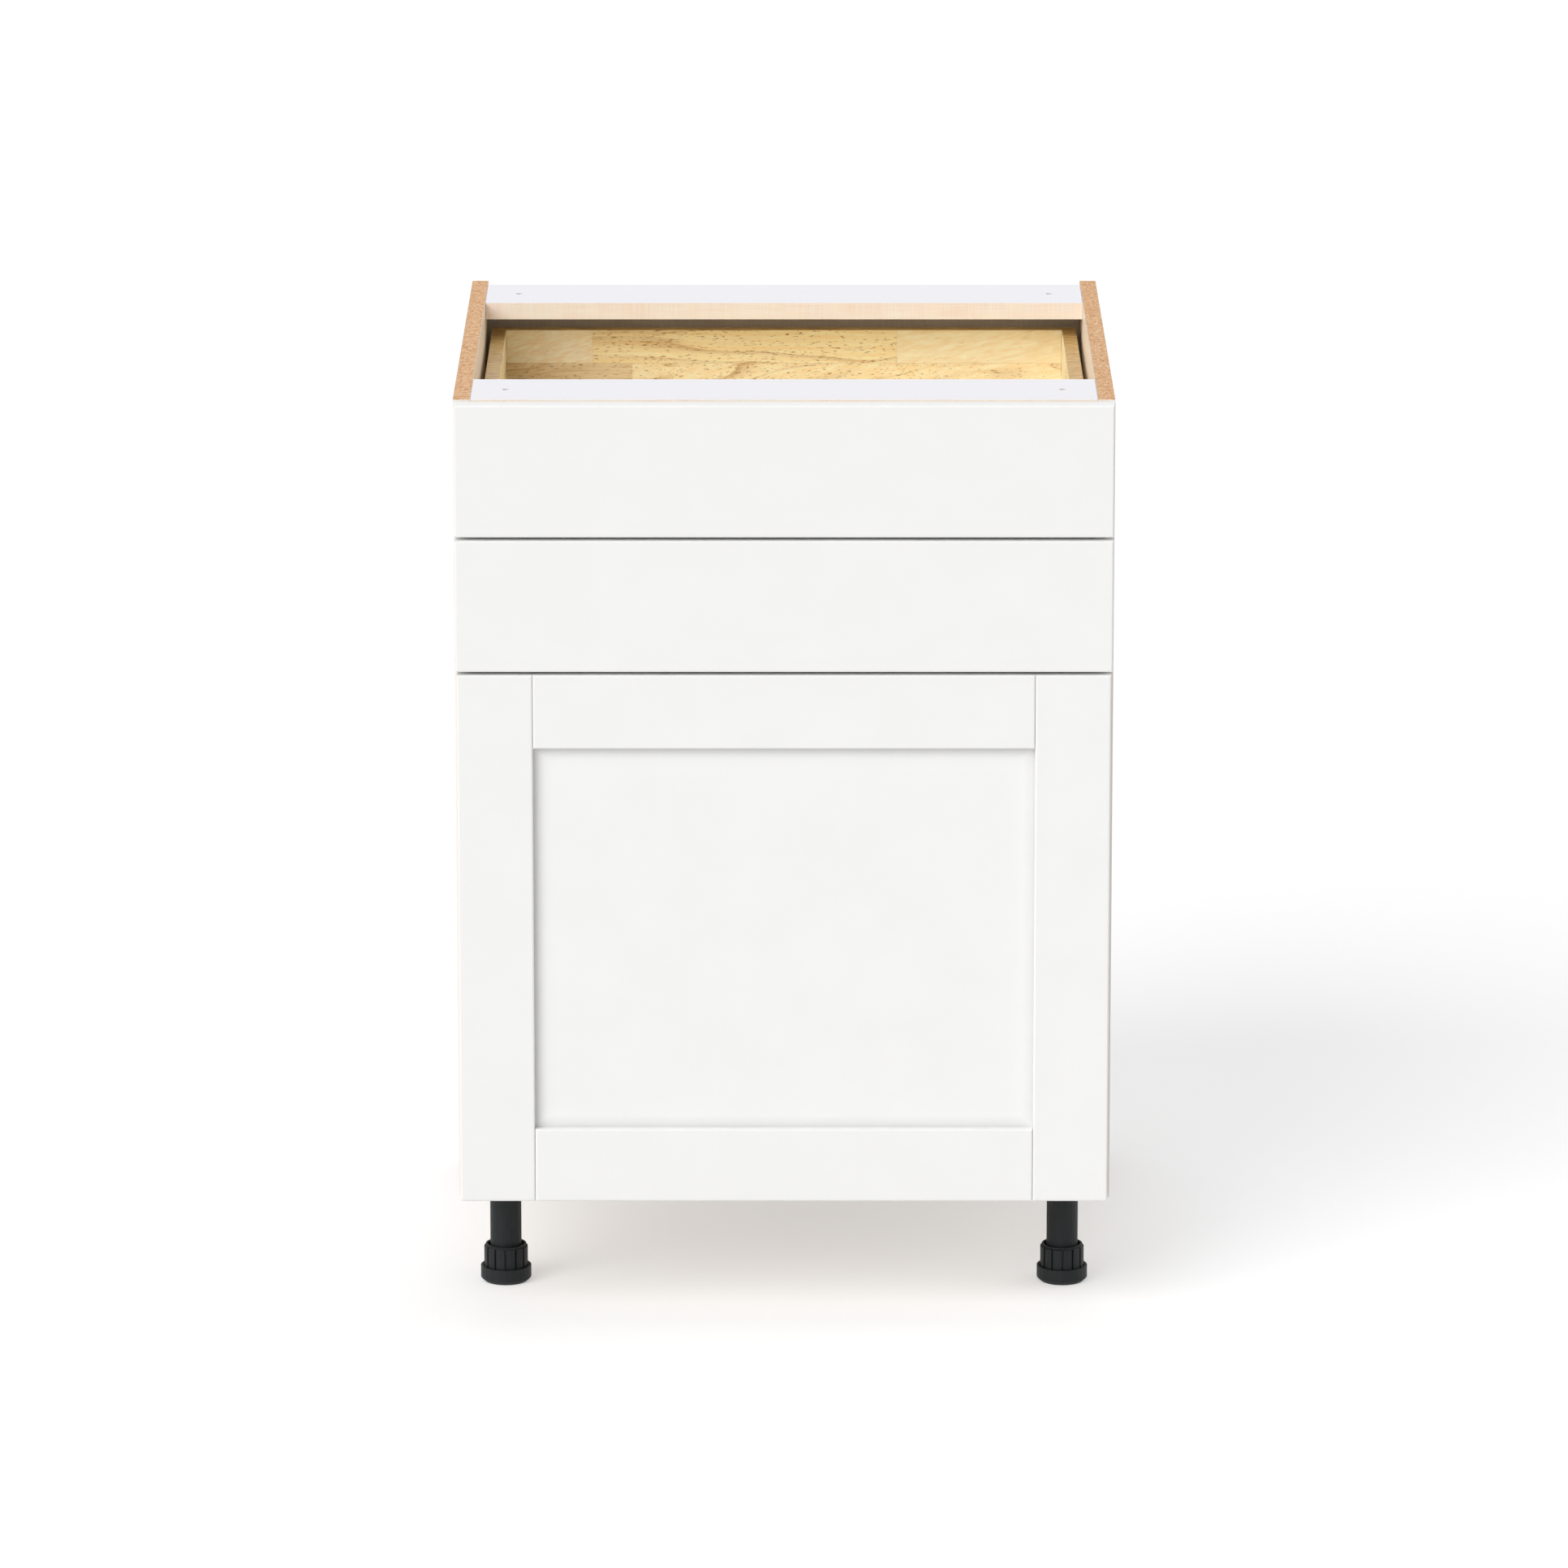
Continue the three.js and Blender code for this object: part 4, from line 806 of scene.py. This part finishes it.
for row in LEG_ROWS:
    for side in SIDES:
        plate_low, plate_high = box_mm(f"leg_{row}_{side}_socket")
        screws(
            f"leg_{row}_{side}_plate_screws",
            "carcass",
            ZINC,
            (0, 0, -1),
            [
                (x, y, plate_high[Z] - LEG_PLATE_THICKNESS)
                for x in (plate_low[X] + LEG_SCREW_INSET, plate_high[X] - LEG_SCREW_INSET)
                for y in (plate_low[Y] + LEG_SCREW_INSET, plate_high[Y] - LEG_SCREW_INSET)
            ],
            radius=4.2,
            height=1.6,
        )

CAM_INSET = 34  # side panel's inner face to the middle of a cam
STRETCHER_CAM_SETBACK = 24  # from the outer edge of each stretcher
FLOOR_CAM_SETBACK = 50  # from the bottom panel's front edge
FLOOR_CAM_BACK_INSET = 30  # and from its back edge


def cams(name, underside, front, back):
    """Four cams in the underside of flat boards, a front and a back one at each side panel."""
    middles = [sign * (side_low[X] - CAM_INSET) for sign in SIDES.values()]
    places = [(x, y, underside) for x in middles for y in (front, back)]
    build(name, "carcass", "zinc_steel", ZINC, *(part for at in places for part in cam(at, (0, 0, -1))))


front_low = box_mm("stretcher_front")[0]
back_high = box_mm("stretcher_back")[1]
cams(
    "stretcher_cams",
    front_low[Z],
    front=front_low[Y] + STRETCHER_CAM_SETBACK,
    back=back_high[Y] - STRETCHER_CAM_SETBACK,
)

floor_low, floor_high = box_mm("bottom_panel")
cams(
    "bottom_cams",
    floor_low[Z],
    front=floor_low[Y] + FLOOR_CAM_SETBACK,
    back=floor_high[Y] - FLOOR_CAM_BACK_INSET,
)

# ---- Studio ------------------------------------------------------------------------------------------------

FLOOR_REACH = 30.0
FLOOR_TONE = "EDECEA"  # what the floor sends back up at the object
FLOOR_TONE_SEEN = "D9D9D9"  # and what the camera sees, before the lift
FLOOR_LIFT = 0.42  # of white, in place of as much of the paper's own light, so the shadow stays but is faint
WORLD_STRENGTH = 0.37


def is_seen(tree, *kinds):
    """1 for light that the named kinds of ray look for, 0 for all other light."""
    rays = node(tree, "LightPath").outputs
    seen = rays[kinds[0]]
    for kind in kinds[1:]:
        seen = node(tree, "Math", seen, rays[kind], operation="MAXIMUM")
    return seen


corners = [(x * FLOOR_REACH, y * FLOOR_REACH, 0) for x, y in ((-1, -1), (1, -1), (1, 1), (-1, 1))]
floor_mesh = bpy.data.meshes.new("floor")
floor_mesh.from_pydata(corners, [], [(0, 1, 2, 3)])
floor = bpy.data.objects.new("floor", floor_mesh)
bpy.context.collection.objects.link(floor)

# Pale paper, matt. Camera and glossy rays see it near white, so that only the object's shadow stands out.
material, tree, shader = finish("pale_studio_paper", Roughness=0.9, Specular_IOR_Level=0.0)
seen = is_seen(tree, "Is Camera Ray", "Is Glossy Ray")
paper = node(tree, "Mix", seen, linear(FLOOR_TONE), linear(FLOOR_TONE_SEEN), data_type="RGBA")
lift = node(tree, "Math", seen, FLOOR_LIFT, operation="MULTIPLY")
fill(tree, shader, {"Base Color": paper, "Emission Color": WHITE, "Emission Strength": lift})
floor_mesh.materials.append(material)

# The world is white where it is seen, and lights the object less.
world = bpy.data.worlds.new("studio")
bpy.context.scene.world = world
world.use_nodes = True
tree = world.node_tree
seen = is_seen(tree, "Is Camera Ray", "Is Glossy Ray", "Is Transmission Ray")
strength = node(tree, "MapRange", seen, 0.0, 1.0, WORLD_STRENGTH, 1.0)
fill(tree, tree.nodes["Background"], {"Color": WHITE, "Strength": strength})


def far_lamp(name, strength, spread, azimuth, elevation):
    """A broad lamp far off. Its spread, azimuth and elevation are in degrees, azimuth to the right from
    straight in front of the fronts. Strength over pi is what it adds to a white surface that faces it."""
    light = bpy.data.lights.new(name, "SUN")
    light.energy = strength
    light.angle = math.radians(spread)
    lamp = bpy.data.objects.new(name, light)
    turn, lift = math.radians(azimuth), math.radians(elevation)
    towards = (math.sin(turn) * math.cos(lift), -math.cos(turn) * math.cos(lift), math.sin(lift))
    lamp.rotation_euler = Vector(towards).to_track_quat("Z", "Y").to_euler()
    bpy.context.collection.objects.link(lamp)


far_lamp("key", strength=1.93, spread=44, azimuth=-38, elevation=34)
far_lamp("fill", strength=0.5, spread=60, azimuth=110, elevation=25)
far_lamp("top", strength=0.46, spread=44, azimuth=180, elevation=68)

bpy.context.scene.view_settings.view_transform = "Standard"
